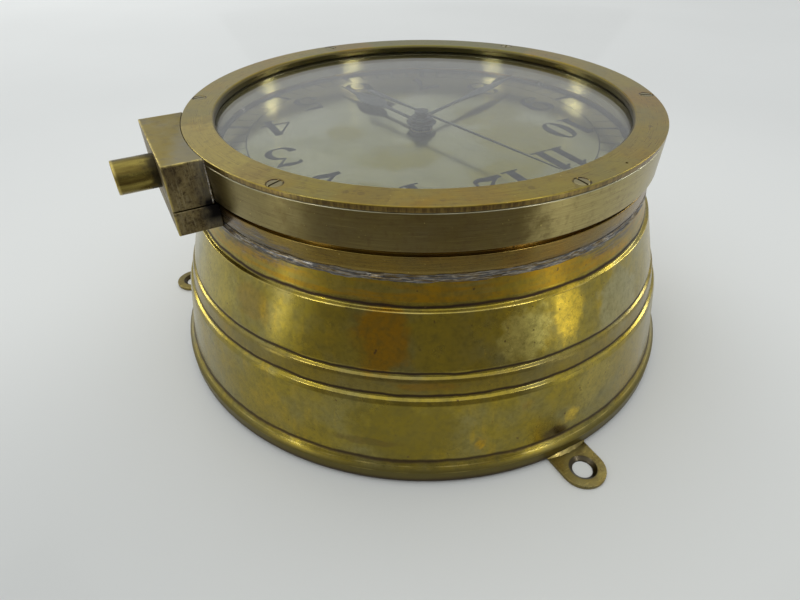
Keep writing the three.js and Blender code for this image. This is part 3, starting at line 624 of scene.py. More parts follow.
def block_brass():
    """Cast lock blocks: mottled brown patina, tinned grey towards the case, painted shade in the corner by
    the case and painted highlights along the edges.
    """
    graph = Graph("block_brass_patina", Metallic=1.0)
    x, y, z, r = graph.x, graph.y, graph.z, graph.r
    graph.tint = graph.mix(graph.clouds(0.11, 5.0, 0.65, 0.40, 0.60), (0.27, 0.215, 0.10),
                           (0.15, 0.115, 0.055))
    mottle = graph.clouds(0.5, 6.0, 0.8, 0.46, 0.60, 0.95)
    graph.paint(mottle, (0.070, 0.050, 0.028))
    edge = graph.plus(r, graph.times(graph.noise(0.3, 3.0), 5.0))
    tin = graph.math("DIVIDE", graph.minus(BEZEL_R + 7.5, edge), 5.0, clamp=True)
    graph.paint(graph.times(tin, 0.75), (0.20, 0.195, 0.175))
    worn = graph.ramp(graph.drawn((1.6, 1.6, 0.16), 5.0, 0.75), (0.50, 0.0), (0.62, 0.75))
    graph.paint(worn, (0.32, 0.27, 0.15))
    # Painted shade, near black, in the corner where the block meets the case and the keeper.
    corner = graph.between(edge, FLANGE_R + 11, FLANGE_R + 5)
    joint_shade = graph.band(z, low("lock_block").z - 1.5, 2.8, 2.5)
    graph.paint(graph.times(corner, joint_shade), (0.014, 0.013, 0.014))
    top = graph.math("DIVIDE", graph.minus(z, RING_TOP - 0.25), 0.2, clamp=True)
    satin = graph.mix(graph.noise(0.07, 4.0), (0.32, 0.25, 0.068), (0.215, 0.172, 0.060))
    smudge = graph.clouds(0.16, 5.0, 0.7, 0.50, 0.66, 0.7)
    satin = graph.mix(smudge, satin, (0.17, 0.14, 0.08))
    inner = graph.between(graph.plus(edge, graph.times(y, -0.35)), BEZEL_R + 9, BEZEL_R + 3)
    satin = graph.mix(graph.times(inner, 0.45), satin, (0.29, 0.285, 0.25))
    graph.paint(top, satin)
    ends = (low("lock_block").y, high("lock_block").y)
    off_middle = graph.math("ABSOLUTE", graph.minus(y, sum(ends) / 2))
    half = (ends[1] - ends[0]) / 2
    near_x = graph.between(x, high("lock_block").x - 0.8, high("lock_block").x - 0.2)
    near_y = graph.between(off_middle, half - 0.8, half - 0.2)
    near_z = graph.between(z, RING_TOP - 0.8, RING_TOP - 0.2)
    # Painted highlight along the block's outer edges, broken up by noise.
    edge_highlight = graph.strongest([graph.times(near_x, near_y), graph.times(near_x, near_z),
                             graph.times(near_y, near_z)])
    rubbed = graph.ramp(graph.noise(0.35, 4.0, 0.6), (0.40, 0.15), (0.60, 0.8))
    graph.paint(graph.times(edge_highlight, rubbed), PALE_BRASS)
    rough = graph.ramp(graph.noise(0.25, 4.0), (0.3, 0.38), (0.7, 0.58))
    return graph.finished(rough, (graph.noise(0.5, 5.0, 0.7), 0.35, 0.10),
                          (graph.noise(3.0, 2.0), 0.25, 0.03))


def barrel_brass():
    """The lock's barrel: polished along its side, with painted shade where it meets the block and a painted
    highlight on its end rim.
    """
    graph = Graph("barrel_brass", Metallic=1.0)
    x = graph.x
    streak = graph.drawn((0.06, 0.5, 0.5), 4.0, 0.6)
    graph.tint = graph.mix(graph.ramp(streak, (0.38, 0.0), (0.62, 1.0)), (0.270, 0.215, 0.055),
                           (0.132, 0.096, 0.024))
    # Painted shade where the barrel meets the block.
    ragged = graph.times(graph.noise(0.35, 4.0, 0.6), 9.0)
    root_shade = graph.between(graph.plus(x, ragged), high("lock_block").x + 10, high("lock_block").x + 5)
    graph.paint(graph.times(root_shade, 0.9), (0.035, 0.030, 0.020))
    # Painted highlight on the end rim.
    rim = graph.between(x, high("lock_barrel").x - 1.2, high("lock_barrel").x - 0.4)
    graph.paint(graph.times(rim, 0.7), PALE_BRASS)
    rough = graph.ramp(graph.noise(0.5, 4.0), (0.3, 0.14), (0.7, 0.30))
    return graph.finished(graph.mix(root_shade, rough, (0.5, 0.5, 0.5)), (streak, 0.10, 0.05),
                          (graph.noise(1.5, 3.0), 0.10, 0.02))


def solder_metal(name, tin):
    """Soft solder: dull tin, smeared with brass and thin white residue."""
    graph = Graph(name, Metallic=1.0)
    streak = graph.brushed(9.0, 1.1, 4.0)
    graph.tint = graph.mix(graph.ramp(streak, (0.40, 0.0), (0.62, 1.0)), tin, (0.075, 0.072, 0.072))
    brassy = graph.ramp(graph.brushed(14.0, 1.7, 3.0), (0.46, 0.0), (0.58, 0.92))
    graph.paint(brassy, (0.19, 0.13, 0.045))
    chalk = graph.ramp(graph.brushed(22.0, 3.4, 4.0), (0.50, 0.0), (0.60, 0.9))
    graph.paint(chalk, (0.46, 0.42, 0.34))
    return graph.finished(graph.ramp(streak, (0.3, 0.42), (0.7, 0.62)),
                          (graph.noise(0.8, 5.0, 0.7), 0.6, 0.12))


# x, y, half width and half height of the yellowed patches on the dial
YELLOWED = [(-27, 27, 16, 19), (-31, 0, 16, 11), (18, 20, 15, 11), (-10, 47, 18, 8), (-8, -40, 9, 6),
            (28, -10, 7, 9), (-64, -24, 8, 10), (44, 40, 10, 8)]


def silvered():
    """The dial: a bright silvered plate, clouded and yellowed under old lacquer."""
    graph = Graph("silvered_dial", Metallic=1.0)
    y, r = graph.y, graph.r
    graph.tint = graph.mix(graph.clouds(0.035, 4.0, 0.55, 0.44, 0.58), (0.50, 0.48, 0.32),
                           (0.38, 0.36, 0.165))
    ragged = graph.ragged(0.16, 5.0, 0.65, 1.2)
    patches = []
    for cx, cy, wide, tall in YELLOWED:
        length = graph.distance((cx, cy, DIAL_TOP), (wide, tall, math.inf))
        patches.append(graph.between(graph.plus(length, ragged), 1.25, 0.65))
    warm = graph.times(graph.between(y, -20, 60), 0.6)
    graph.paint(warm, (0.305, 0.275, 0.085))
    graph.paint(graph.strongest(patches), (0.325, 0.280, 0.035))
    cloud = graph.clouds(0.09, 5.0, 0.6, 0.50, 0.70, 0.5)
    graph.paint(cloud, (0.31, 0.30, 0.19))
    spots = graph.clouds(0.45, 2.0, 0.3, 0.74, 0.79, 0.6)
    graph.paint(spots, (0.20, 0.18, 0.12))
    edge = graph.ramp(graph.math("DIVIDE", r, DIAL_R), (0.93, 0.0), (1.0, 0.5))
    graph.paint(edge, (0.27, 0.25, 0.165))
    haze = graph.noise(0.07, 4.0, 0.6)
    return graph.finished(graph.ramp(haze, (0.3, 0.12), (0.7, 0.21)), (graph.noise(0.9, 3.0), 0.03, 0.02),
                          (graph.noise(0.10, 2.0), 0.10, 0.10))


def ink():
    """Black wax in the dial's engraving, dulled to dark grey."""
    graph = Graph("dial_ink", Metallic=0.0, Specular_IOR_Level=0.0)
    worn = graph.clouds(0.5, 4.0, 0.6, 0.35, 0.75)
    graph.tint = graph.mix(worn, (0.010, 0.011, 0.016), (0.040, 0.040, 0.048))
    return graph.finished(graph.ramp(worn, (0.0, 0.35), (1.0, 0.55)))


def blued_steel():
    """The hands: dark blued steel."""
    graph = Graph("blued_hands", Metallic=0.6)
    tint = graph.clouds(0.12, 3.0, 0.5, 0.35, 0.65)
    graph.tint = graph.mix(tint, (0.022, 0.027, 0.038), (0.050, 0.052, 0.060))
    return graph.finished(graph.ramp(graph.noise(1.0, 2.0), (0.3, 0.30), (0.7, 0.45)))


def machined(name, light, dark, roughness=0.3):
    """Movement metal: fine straight-grained finish with faint tarnish, and painted shade on the arbors just
    above the dial.
    """
    graph = Graph(name, Metallic=1.0)
    z, r = graph.z, graph.r
    grain = graph.drawn((0.15, 3.0, 1), 3.0, 0.6)
    cloud = graph.clouds(0.09, 4.0, 0.5, 0.4, 0.7, 0.8)
    graph.tint = graph.mix(cloud, light, dark)
    # Painted shade on the centre arbors between the hands' hubs.
    arbor_shade = graph.times(graph.band(z, DIAL_TOP + 5.0, 4.8, 0.5), graph.between(r, 9, 8))
    graph.paint(arbor_shade, (0.040, 0.036, 0.034))
    return graph.finished(graph.ramp(grain, (0.3, roughness - 0.08), (0.7, roughness + 0.1)),
                          (grain, 0.15, 0.02))


def clear_glass():
    """Old plate glass, faintly greasy."""
    graph = Graph("window_glass", Metallic=0.0, IOR=1.5, Transmission_Weight=1.0,
                  Base_Color=(0.94, 0.97, 0.95))
    graph.feed(graph.shader.inputs["Roughness"], graph.clouds(0.05, 5.0, 0.6, 0.45, 0.75, 0.035))
    return graph.material


def soft_rubber():
    graph = Graph("gasket_rubber", Metallic=0.0)
    dust = graph.clouds(0.4, 4.0, 0.5, 0.4, 0.7, 0.6)
    graph.tint = graph.mix(dust, (0.02, 0.02, 0.02), (0.07, 0.065, 0.06))
    return graph.finished(graph.ramp(dust, (0.0, 0.6), (1.0, 0.85)))


# ------------------------------------------------------------------ case
def case_shell():
    r = BASE_R
    neck_r = SPIGOT_R + 1.0
    outside = [(r - 0.9, 0.05, 0.3), (r, 1.4, 0.7), (r, 5.7, 0.45), (r - 1.4, 7.4, 0.4),
               (r - 2.5, COVE_Z, 0.35), (r - 2.7, COVE_Z + 1.5, 0.3), (r - 6.0, GROOVE_1_Z - 2.6, 0.3),
               (r - 6.6, GROOVE_1_Z - 1.1, 0.16), (r - 7.6, GROOVE_1_Z - 0.6, 0.2),
               (r - 7.8, GROOVE_1_Z + 0.9, 0.35), (r - 8.6, GROOVE_2_Z - 2.0, 0.3),
               (r - 9.0, GROOVE_2_Z - 1.1, 0.16), (r - 9.9, GROOVE_2_Z - 0.6, 0.2),
               (r - 10.0, GROOVE_2_Z + 1.2, 0.35), (r - 14.9, SHOULDER_Z - 2.4, 0.4),
               (r - 15.3, SHOULDER_Z - 0.9, 0.3), (r - 16.6, SHOULDER_Z - 0.4, 0.3),
               (r - 17.2, SHOULDER_Z + 1.6, 0.5), (neck_r, NECK_TOP, 0)]
    inside = [(neck_r - 1.3, NECK_TOP, 0), (r - 18.6, SHOULDER_Z, 1.0), (r - 4.1, COVE_Z + 0.4, 0.8),
              (r - 1.7, 5.8, 0.5), (r - 1.7, 0.05, 0)]
    return lathe_bm(rounded(outside + inside))


def lug_notches(inner_r, top):
    """Cutters for the lugs' places, from inner_r out and up to top."""
    half = LUG_HALF_W + 0.15
    return [turn_bm(block_bm((inner_r, -half, -1), (BASE_R + 2, half, top)), math.radians(angle), "Z")
            for angle in LUG_ANGLES.values()]


def case_flange():
    outline = rounded([(OPENING_R - 0.2, FLANGE_LOW, 0), (FLANGE_R - 0.3, FLANGE_LOW, 0.2),
                       (FLANGE_R, FLANGE_LOW + 1.2, 0.3), (FLANGE_R + 0.1, FLANGE_TOP, 0.35),
                       (SPIGOT_R, FLANGE_TOP, 0.1), (SPIGOT_R, SPIGOT_TOP, 0.3),
                       (DIAL_R + 0.4, SPIGOT_TOP, 0.2), (DIAL_R + 0.4, DIAL_LOW - 0.3, 0),
                       (OPENING_R - 0.2, DIAL_LOW - 0.3, 0)])
    return lathe_bm(outline)


def solder_fillet():
    """A ragged fillet of solder in the corner between the neck and the flange."""
    neck_r = SPIGOT_R + 1.05
    outline = [(neck_r - 0.3, FLANGE_LOW - 2.6), (neck_r + 0.55, FLANGE_LOW - 2.3),
               (neck_r + 0.75, FLANGE_LOW - 1.5), (FLANGE_R - 0.35, FLANGE_LOW - 0.4),
               (FLANGE_R - 0.1, FLANGE_LOW + 0.25), (neck_r - 0.3, FLANGE_LOW + 0.2)]
    amounts = [(0.0, 0.9), (0.25, 0.9), (0.25, 0.5), (0.2, 0.25), (0.12, 0.5), (0.0, 0.2)]

    def wobble(turn, i):
        at = Vector((math.cos(turn) * 9, math.sin(turn) * 9, i * 0.7))
        fine = Vector((math.cos(turn) * 34, math.sin(turn) * 34, i * 1.3))
        lift = noise.noise(at) + 0.6 * noise.noise(fine)
        out, up = amounts[i]
        return out * lift, up * lift

    return lathe_bm(outline, 480, wobble)


def lug(angle):
    outline = [(BASE_R - 8.2, -LUG_HALF_W)]
    for k in range(25):
        turn = -math.pi / 2 + math.pi * k / 24
        outline.append((LUG_HOLE_AT + LUG_HALF_W * math.cos(turn), LUG_HALF_W * math.sin(turn)))
    outline.append((BASE_R - 8.2, LUG_HALF_W))
    plate = prism_bm(outline, 0.02, BACK_T, 0.28, 3)
    mouth = rounded([(0, -1, 0), (3.4, -1, 0), (3.4, 0.45, 0.2), (4.6, BACK_T - 0.12, 0.15),
                     (5.0, BACK_T + 0.4, 0), (0, BACK_T + 0.4, 0)], 3)
    cutter = shift_bm(lathe_bm(mouth, 64), (LUG_HOLE_AT, 0, 0))
    return turn_bm(carved(plate, cutter), math.radians(angle), "Z")


def lug_solder(angle):
    """The solder that holds a lug to the case, run into the corner above it."""
    bm = bmesh.new()
    length, rows = 26, 7
    grid = []
    for i in range(length + 1):
        t = i / length
        y = (t - 0.5) * 2 * (LUG_HALF_W + 0.8)
        edge = math.sqrt(max(BASE_R ** 2 - y ** 2, 0))
        swell = math.sin(math.pi * min(max(t, 0.001), 0.999)) ** 0.5
        row = []
        for k in range(rows):
            s = k / (rows - 1) * math.pi / 2
            rough = 0.25 * noise.noise(Vector((t * 9, k * 0.9, angle)))
            reach = (1.5 + 2 * rough) * swell
            x = edge - 0.25 + reach * math.cos(s) ** 2
            z = BACK_T - 0.08 + (1.2 + rough) * swell * math.sin(s) ** 2
            row.append(bm.verts.new((x, y, z)))
        grid.append(row)
    for a, b in zip(grid, grid[1:]):
        for k in range(rows - 1):
            bm.faces.new([a[k], b[k], b[k + 1], a[k + 1]])
    ends = bmesh.ops.extrude_face_region(bm, geom=list(bm.faces))
    moved = [v for v in ends["geom"] if isinstance(v, bmesh.types.BMVert)]
    bmesh.ops.translate(bm, vec=(-0.5, 0, -0.25), verts=moved)
    return turn_bm(bm, math.radians(angle), "Z")


def back_plate():
    outline = rounded([(0, 0.05, 0), (BACK_R, 0.05, 0.2), (BACK_R, BACK_T, 0.2), (0, BACK_T, 0)], 2)
    return carved(lathe_bm(outline), *lug_notches(BASE_R - 8.35, BACK_T + 1))


# ------------------------------------------------------------------ bezel
def bezel_band():
    skirt_r = BEZEL_R - 2.5
    seat_z = GLASS_LOW - 0.8
    outline = rounded([(skirt_r, BAND_LOW, 0.15), (BEZEL_R - 0.4, BAND_LOW, 0.3),
                       (BEZEL_R - 0.02, BAND_TOP - 0.02, 0.30), (GLASS_R + 0.4, BAND_TOP - 0.02, 0.1),
                       (GLASS_R + 0.4, seat_z, 0.1), (BAND_INNER_R, seat_z, 0.25),
                       (BAND_INNER_R, SPIGOT_TOP + 0.4, 0.2), (skirt_r, SPIGOT_TOP + 0.4, 0.1)])
    return lathe_bm(outline)


def retaining_ring():
    ring_low = RING_TOP - 1.9
    outline = rounded([(OPENING_R + 0.2, RING_LIP_LOW, 0.1), (OPENING_R + 3.3, RING_LIP_LOW, 0.1),
                       (OPENING_R + 3.3, ring_low, 0), (BEZEL_R - 0.1, ring_low, 0.22),
                       (BEZEL_R - 0.02, ring_low + 0.6, 0.2), (BEZEL_R, RING_TOP - 0.02, 0.3),
                       (OPENING_R + 0.9, RING_TOP - 0.02, 0.2), (OPENING_R, RING_TOP - 0.9, 0.25)])
    cone = rounded([(0, ring_low - 2, 0), (1.3, ring_low - 2, 0), (1.3, ring_low + 0.4, 0.1),
                    (2.5, RING_TOP - 0.1, 0.1), (2.6, RING_TOP + 0.4, 0), (0, RING_TOP + 0.4, 0)], 2)
    cutters = [shift_bm(lathe_bm(cone, 40), polar(SCREW_RING_R, angle)) for angle in SCREW_ANGLES]
    pin_hole = shift_bm(rod_bm(0.45, RING_TOP - 0.5, RING_TOP + 1, 20), polar(SCREW_RING_R, 105))
    return carved(lathe_bm(outline), *cutters, pin_hole)


def screw(angle, slot_turn):
    head = RING_TOP - 0.04
    outline = rounded([(0, head - 4, 0), (1.0, head - 4, 0), (1.0, head - 1.4, 0.1),
                       (2.32, head - 0.12, 0.12), (1.9, head + 0.02, 0.2), (0, head + 0.06, 0)], 2)
    slot = turn_bm(block_bm((-4, -0.32, head - 0.62), (4, 0.32, head + 1), 0.0), slot_turn, "Z")
    bm = carved(lathe_bm(outline, 48), slot)
    return shift_bm(bm, polar(SCREW_RING_R, angle))


def glass_disc():
    outline = rounded([(0, GLASS_LOW, 0), (GLASS_R, GLASS_LOW, 0.3), (GLASS_R, GLASS_TOP, 0.3),
                       (0, GLASS_TOP, 0)], 2)
    return lathe_bm(outline)


def gasket_ring():
    lowest, highest = low("glass_gasket").z, high("glass_gasket").z
    outline = rounded([(BAND_INNER_R + 0.3, lowest, 0.25), (GLASS_R, lowest, 0.25),
                       (GLASS_R, highest, 0.25), (BAND_INNER_R + 0.3, highest, 0.25)], 3)
    return lathe_bm(outline)


# ------------------------------------------------------------------ lock
def arc_block(node, inner_r):
    """A block whose inner side follows a circle about the axis, from its node's box."""
    lowest, highest = low(node), high(node)
    outline = [(highest.x, lowest.y), (highest.x, highest.y)]
    steps = 24
    start = math.asin(highest.y / inner_r)
    end = math.asin(lowest.y / inner_r)
    for k in range(steps + 1):
        turn = start + (end - start) * k / steps
        outline.append((inner_r * math.cos(turn), inner_r * math.sin(turn)))
    return outline, lowest.z, highest.z


def lock_block():
    outline, z0, z1 = arc_block("lock_block", BEZEL_R + 0.12)
    body = prism_bm(outline, z0, z1 - 0.02, 0.3, 3)
    cam = (low("lock_cam"), high("lock_cam"))
    reach = LOCK_Z - cam[0].z
    slot = block_bm((cam[0].x - 0.5, -reach - 1, z0 - 5), (cam[1].x + 0.5, 5.2, LOCK_Z + 3.6))
    eye = rod_bm(5.4, cam[0].x - 0.5, cam[1].x + 0.5)
    eye = turn_bm(eye, math.pi / 2, "Y", (0, 0, LOCK_Z))
    staple = block_bm((cam[0].x - 2.4, -reach - 0.5, z0 - 5),
                      (cam[1].x + 2.4, -reach + 2.9, high("keeper_block").z + 0.6))
    bore = turn_bm(rod_bm(2.9, cam[1].x, high("lock_block").x + 2), math.pi / 2, "Y", (0, 0, LOCK_Z))
    return carved(body, slot, eye, staple, bore)


def keeper_block():
    outline, z0, z1 = arc_block("keeper_block", FLANGE_R + 0.12)
    shelf_top = BAND_LOW - 1.3
    cam = (low("lock_cam"), high("lock_cam"))
    reach = LOCK_Z - cam[0].z
    body = prism_bm(outline, z0, shelf_top, 0.3, 3)
    pocket = block_bm((cam[0].x - 1, -reach + 2.7, LOCK_Z - reach - 0.9),
                      (cam[1].x + 1, 3.6, shelf_top + 5))
    body = carved(body, pocket)
    staple = block_bm((cam[0].x - 1.9, -reach, shelf_top - 1), (cam[1].x + 1.9, -reach + 2.4, z1), 0.35)
    window = block_bm((cam[0].x - 0.4, -reach - 1, shelf_top - 2), (cam[1].x + 0.4, -reach + 4, z1 - 1.5))
    return joined(body, carved(staple, window))


def lock_barrel():
    x0, x1 = low("lock_barrel").x, high("lock_barrel").x
    outline = rounded([(3.9, x0, 0), (BARREL_R, x0, 0.1), (BARREL_R, x1, 0.45), (3.9, x1, 0.4)], 3)
    return turn_bm(lathe_bm(outline, 96), math.pi / 2, "Y", (0, 0, LOCK_Z))


def seam_solder(node, inner_r, side):
    """A thin uneven bead of solder down the corner between a block and the round case."""
    lowest, highest = low(node), min(high(node).z, RING_TOP - 0.3)
    y = high(node).y if side > 0 else low(node).y
    x = math.sqrt(inner_r ** 2 - y ** 2)
    bm = bmesh.new()
    rings, around = 26, 10
    loops = []
    for i in range(rings):
        t = i / (rings - 1)
        z = lowest.z + 0.3 + (highest - lowest.z - 0.6) * t
        wander = noise.noise(Vector((t * 5, side, highest * 0.1)))
        fat = 0.32 + 0.14 * noise.noise(Vector((t * 11, side * 3, 2)))
        loops.append([bm.verts.new((x + 0.12 * wander + fat * math.cos(TAU * k / around),
                                    y + side * (0.02 + 0.1 * wander) + fat * math.sin(TAU * k / around), z))
                      for k in range(around)])
    for a, b in zip(loops, loops[1:]):
        for k in range(around):
            bm.faces.new([a[k], a[(k + 1) % around], b[(k + 1) % around], b[k]])
    bm.faces.new(list(reversed(loops[0])))
    bm.faces.new(loops[-1])
    return bm


# ------------------------------------------------------------------ hinge
def knuckle_bm(y0, y1, radius, bore=1.6):
    outline = rounded([(bore, y0, 0), (radius, y0, 0.3), (radius, y1, 0.3), (bore, y1, 0)], 3)
    return turn_bm(lathe_bm(outline, 48), -math.pi / 2, "X", (HINGE_X, 0, HINGE_Z))


def round_cutter(radius):
    """A cutter about the clock's axis that clears the leaves at every height."""
    return lathe_bm([(0, 60), (radius, 60), (radius, 100), (0, 100)])


def hinge_bezel_leaf():
    lowest, highest = low("hinge_bezel_leaf"), high("hinge_bezel_leaf")
    radius = HINGE_Z - lowest.z
    arm = block_bm((HINGE_X - 1.2, lowest.y, HINGE_Z + 1.7), (-BEZEL_R + 3, highest.y, highest.z), 0.35)
    return joined(carved(arm, round_cutter(BEZEL_R + 0.1)), knuckle_bm(lowest.y, highest.y, radius, 1.8))


def hinge_case_leaf():
    lowest, highest = low("hinge_case_leaf"), high("hinge_case_leaf")
    middle = high("hinge_bezel_leaf").y + 0.3
    radius = HINGE_Z - low("hinge_bezel_leaf").z
    plate = block_bm((HINGE_X - 1.4, lowest.y, lowest.z), (-FLANGE_R + 3, highest.y, lowest.z + 2.7), 0.35)
    parts = [carved(plate, round_cutter(FLANGE_R + 0.15))]
    for y0, y1 in ((lowest.y, -middle), (middle, highest.y)):
        parts.append(knuckle_bm(y0, y1, radius, 1.55))
        parts.append(block_bm((HINGE_X - 1.4, y0, lowest.z + 0.8), (HINGE_X + 3, y1, HINGE_Z - 1.75), 0.3))
    return joined(*parts)


def hinge_pin():
    y0, y1 = low("hinge_pin").y, high("hinge_pin").y
    return turn_bm(rod_bm(1.48, y0, y1, 48, 0.5), -math.pi / 2, "X", (HINGE_X, 0, HINGE_Z))


# ------------------------------------------------------------------ dial
# Widths of the figures' usual strokes, in a box one unit high
THICK = 0.17
THIN = 0.048


def oval(cx, cy, rx, ry, side, cap, start=0, sweep=360, steps=28):
    """A stroke round an oval that is wide at its sides and thin at its top and bottom."""
    stroke = []
    for k in range(steps + 1):
        turn = math.radians(start + sweep * k / steps)
        width = cap + (side - cap) * abs(math.cos(turn)) ** 1.6
        stroke.append((cx + rx * math.cos(turn), cy + ry * math.sin(turn), width))
    return stroke


def dot(cx, cy, radius):
    return [(cx, cy - radius * 0.98, radius * 0.3), (cx, cy - radius * 0.7, radius * 1.4),
            (cx, cy, radius * 2), (cx, cy + radius * 0.7, radius * 1.4),
            (cx, cy + radius * 0.98, radius * 0.3)]


# Each figure is its width and a list of strokes in a box one unit high. A stroke is a list of
# (x, y, width) points along its middle.
FIGURES = {
    "0": (0.64, [oval(0, 0.5, 0.215, 0.465, 0.20, THIN)]),
    "1": (0.44, [[(0, 0.0, 0.20), (0, 0.97, 0.20)],
                 [(-0.20, 0.80, THIN), (-0.10, 0.86, 0.07), (0.0, 0.95, 0.10)],
                 [(-0.20, 0.03, THIN), (0.20, 0.03, THIN)]]),
    "2": (0.74, [oval(0.02, 0.71, 0.25, 0.26, 0.17, THIN, 175, -190),
                 [(0.27, 0.68, 0.15), (0.19, 0.50, 0.11), (-0.03, 0.27, 0.07), (-0.29, 0.07, 0.06)],
                 [(-0.31, 0.085, 0.12), (-0.05, 0.11, 0.17), (0.17, 0.075, 0.15), (0.30, 0.12, 0.09),
                  (0.33, 0.28, 0.04)],
                 dot(-0.20, 0.71, 0.07)]),
    "3": (0.74, [[(-0.27, 0.80, 0.05), (-0.25, 0.90, 0.09), (-0.06, 0.925, 0.13), (0.14, 0.90, 0.12),
                  (0.27, 0.95, 0.06)],
                 [(0.26, 0.94, THIN), (-0.03, 0.585, THIN)],
                 oval(-0.02, 0.30, 0.28, 0.285, THICK, THIN, 93, -270), dot(-0.26, 0.20, 0.08)]),
    "4": (0.74, [[(0.13, 0.0, 0.19), (0.13, 0.98, 0.19)], [(0.11, 0.97, 0.06), (-0.33, 0.30, THIN)],
                 [(-0.35, 0.28, 0.07), (0.37, 0.28, 0.07)], [(-0.04, 0.03, THIN), (0.30, 0.03, THIN)]]),
    "5": (0.74, [[(-0.22, 0.90, 0.13), (0.0, 0.92, 0.14), (0.26, 0.95, 0.08)],
                 [(-0.22, 0.95, THIN), (-0.22, 0.52, THIN)],
                 oval(-0.02, 0.31, 0.28, 0.285, THICK, THIN, 135, -290), dot(-0.25, 0.20, 0.08)]),
    "6": (0.74, [oval(0.0, 0.31, 0.27, 0.29, THICK, THIN),
                 oval(0.08, 0.50, 0.34, 0.47, 0.17, THIN, 190, -130),
                 dot(0.22, 0.87, 0.07)]),
    "7": (0.72, [[(-0.31, 0.84, 0.05), (-0.25, 0.91, 0.14), (0.0, 0.90, 0.13), (0.31, 0.95, 0.07)],
                 [(0.29, 0.94, 0.06), (0.10, 0.62, 0.09), (-0.02, 0.30, 0.16), (-0.05, 0.0, 0.20)]]),
    "8": (0.72, [oval(0, 0.755, 0.21, 0.215, 0.15, THIN), oval(0, 0.275, 0.27, 0.25, THICK, THIN)]),
    "9": (0.74, [oval(0.0, 0.69, 0.27, 0.29, THICK, THIN),
                 oval(-0.08, 0.50, 0.34, 0.47, 0.17, THIN, 10, -130),
                 dot(-0.22, 0.13, 0.07)]),
}
# Height of the figures, radius of their middles, and radii of the minute track's two circles
FIGURE_H = 16.4
FIGURE_R = 56.4
TRACK_R = (67.2, 76.4)


def ribbon_bm(stroke, z0, z1, scale=1.0):
    """A flat closed ribbon of varying width along a stroke."""
    closed = math.dist(stroke[0][:2], stroke[-1][:2]) < 1e-6
    points = stroke[:-1] if closed else stroke
    bm = bmesh.new()
    rings = []
    count = len(points)
    for i, (x, y, width) in enumerate(points):
        ahead = points[(i + 1) % count] if closed or i < count - 1 else points[i]
        behind = points[i - 1] if closed or i > 0 else points[i]
        along = Vector((ahead[0] - behind[0], ahead[1] - behind[1])).normalized()
        side = Vector((-along.y, along.x)) * width / 2
        here = Vector((x, y))
        left, right = (here + side) * scale, (here - side) * scale
        rings.append([bm.verts.new((*left, z0)), bm.verts.new((*right, z0)),
                      bm.verts.new((*right, z1)), bm.verts.new((*left, z1))])
    spans = zip(rings, rings[1:] + rings[:1]) if closed else zip(rings, rings[1:])
    for a, b in spans:
        for k in range(4):
            bm.faces.new([a[k], a[(k + 1) % 4], b[(k + 1) % 4], b[k]])
    if not closed:
        bm.faces.new(rings[0])
        bm.faces.new(list(reversed(rings[-1])))
    return bm


def smooth_stroke(stroke, per_span=6):
    """Catmull-Rom points through a stroke that has more than two."""
    if len(stroke) < 3 or len(stroke) > 12:
        return stroke
    points = [Vector(p) for p in stroke]
    result = []
    for i in range(len(points) - 1):
        p0, p1 = points[max(i - 1, 0)], points[i]
        p2, p3 = points[i + 1], points[min(i + 2, len(points) - 1)]
        for k in range(per_span):
            t = k / per_span
            result.append(tuple(0.5 * (2 * p1 + (p2 - p0) * t + (2 * p0 - 5 * p1 + 4 * p2 - p3) * t ** 2
                                       + (3 * p1 - p0 - 3 * p2 + p3) * t ** 3)))
    result.append(tuple(points[-1]))
    return result


def numeral_bm(hour):
    """The hour's figures, upright, centred on their place on the dial."""
    digits = [FIGURES[d] for d in str(hour)]
    total = sum(width for width, _ in digits)
    at = -total / 2
    parts = []
    step = 0
    for width, strokes in digits:
        for stroke in strokes:
            moved = [(x + at + width / 2, y - 0.5, w) for x, y, w in smooth_stroke(stroke)]
            top = DIAL_TOP + 0.05 + 0.004 * step
            parts.append(ribbon_bm(moved, DIAL_TOP - 0.1, top, FIGURE_H))
            step += 1
        at += width
    return shift_bm(joined(*parts), polar(FIGURE_R, 90 - 30 * hour))


def minute_track_bm():
    parts = []
    for radius in TRACK_R:
        outline = [(radius - 0.2, DIAL_TOP - 0.1), (radius + 0.2, DIAL_TOP - 0.1),
                   (radius + 0.2, DIAL_TOP + 0.04), (radius - 0.2, DIAL_TOP + 0.04)]
        parts.append(lathe_bm(outline))
    inner, outer = TRACK_R
    for minute in range(60):
        half = 0.9 if minute % 5 == 0 else 0.22
        tick = block_bm((inner, -half, DIAL_TOP - 0.1), (outer, half, DIAL_TOP + 0.045))
        parts.append(turn_bm(tick, math.radians(90 - 6 * minute), "Z"))
    return joined(*parts)


def dial_plate():
    outline = rounded([(0, DIAL_LOW, 0), (DIAL_R, DIAL_LOW, 0.1), (DIAL_R, DIAL_TOP, 0.15),
                       (0, DIAL_TOP, 0)], 2)
    winding = (low("winding_arbor") + high("winding_arbor")) / 2
    holes = [shift_bm(rod_bm(4.2, DIAL_LOW - 1, DIAL_TOP + 1), (winding.x, winding.y, 0)),
             rod_bm(4.6, DIAL_LOW - 1, DIAL_TOP + 1)]
    return carved(lathe_bm(outline), *holes)


# ------------------------------------------------------------------ hands
def hand_bm(right, node, tilt):
    """A flat hand with softened edges, from the right half of its outline."""
    z0, z1 = low(node).z + 0.3, high(node).z - 0.3
    outline = right + [(-x, y) for x, y in reversed(right) if x > 0]
    bm = prism_bm(outline, z0, z1, 0.12, 2, 50)
    return turn_bm(bm, -math.radians(tilt), "Z")


def smooth_outline(points, per_span=5):
    """Catmull-Rom points through an outline, its ends kept."""
    return [(x, y) for x, y, _ in smooth_stroke([(x, y, 0.0) for x, y in points], per_span)]


def hub_bm(outline):
    return lathe_bm(rounded(outline, 3), 96)


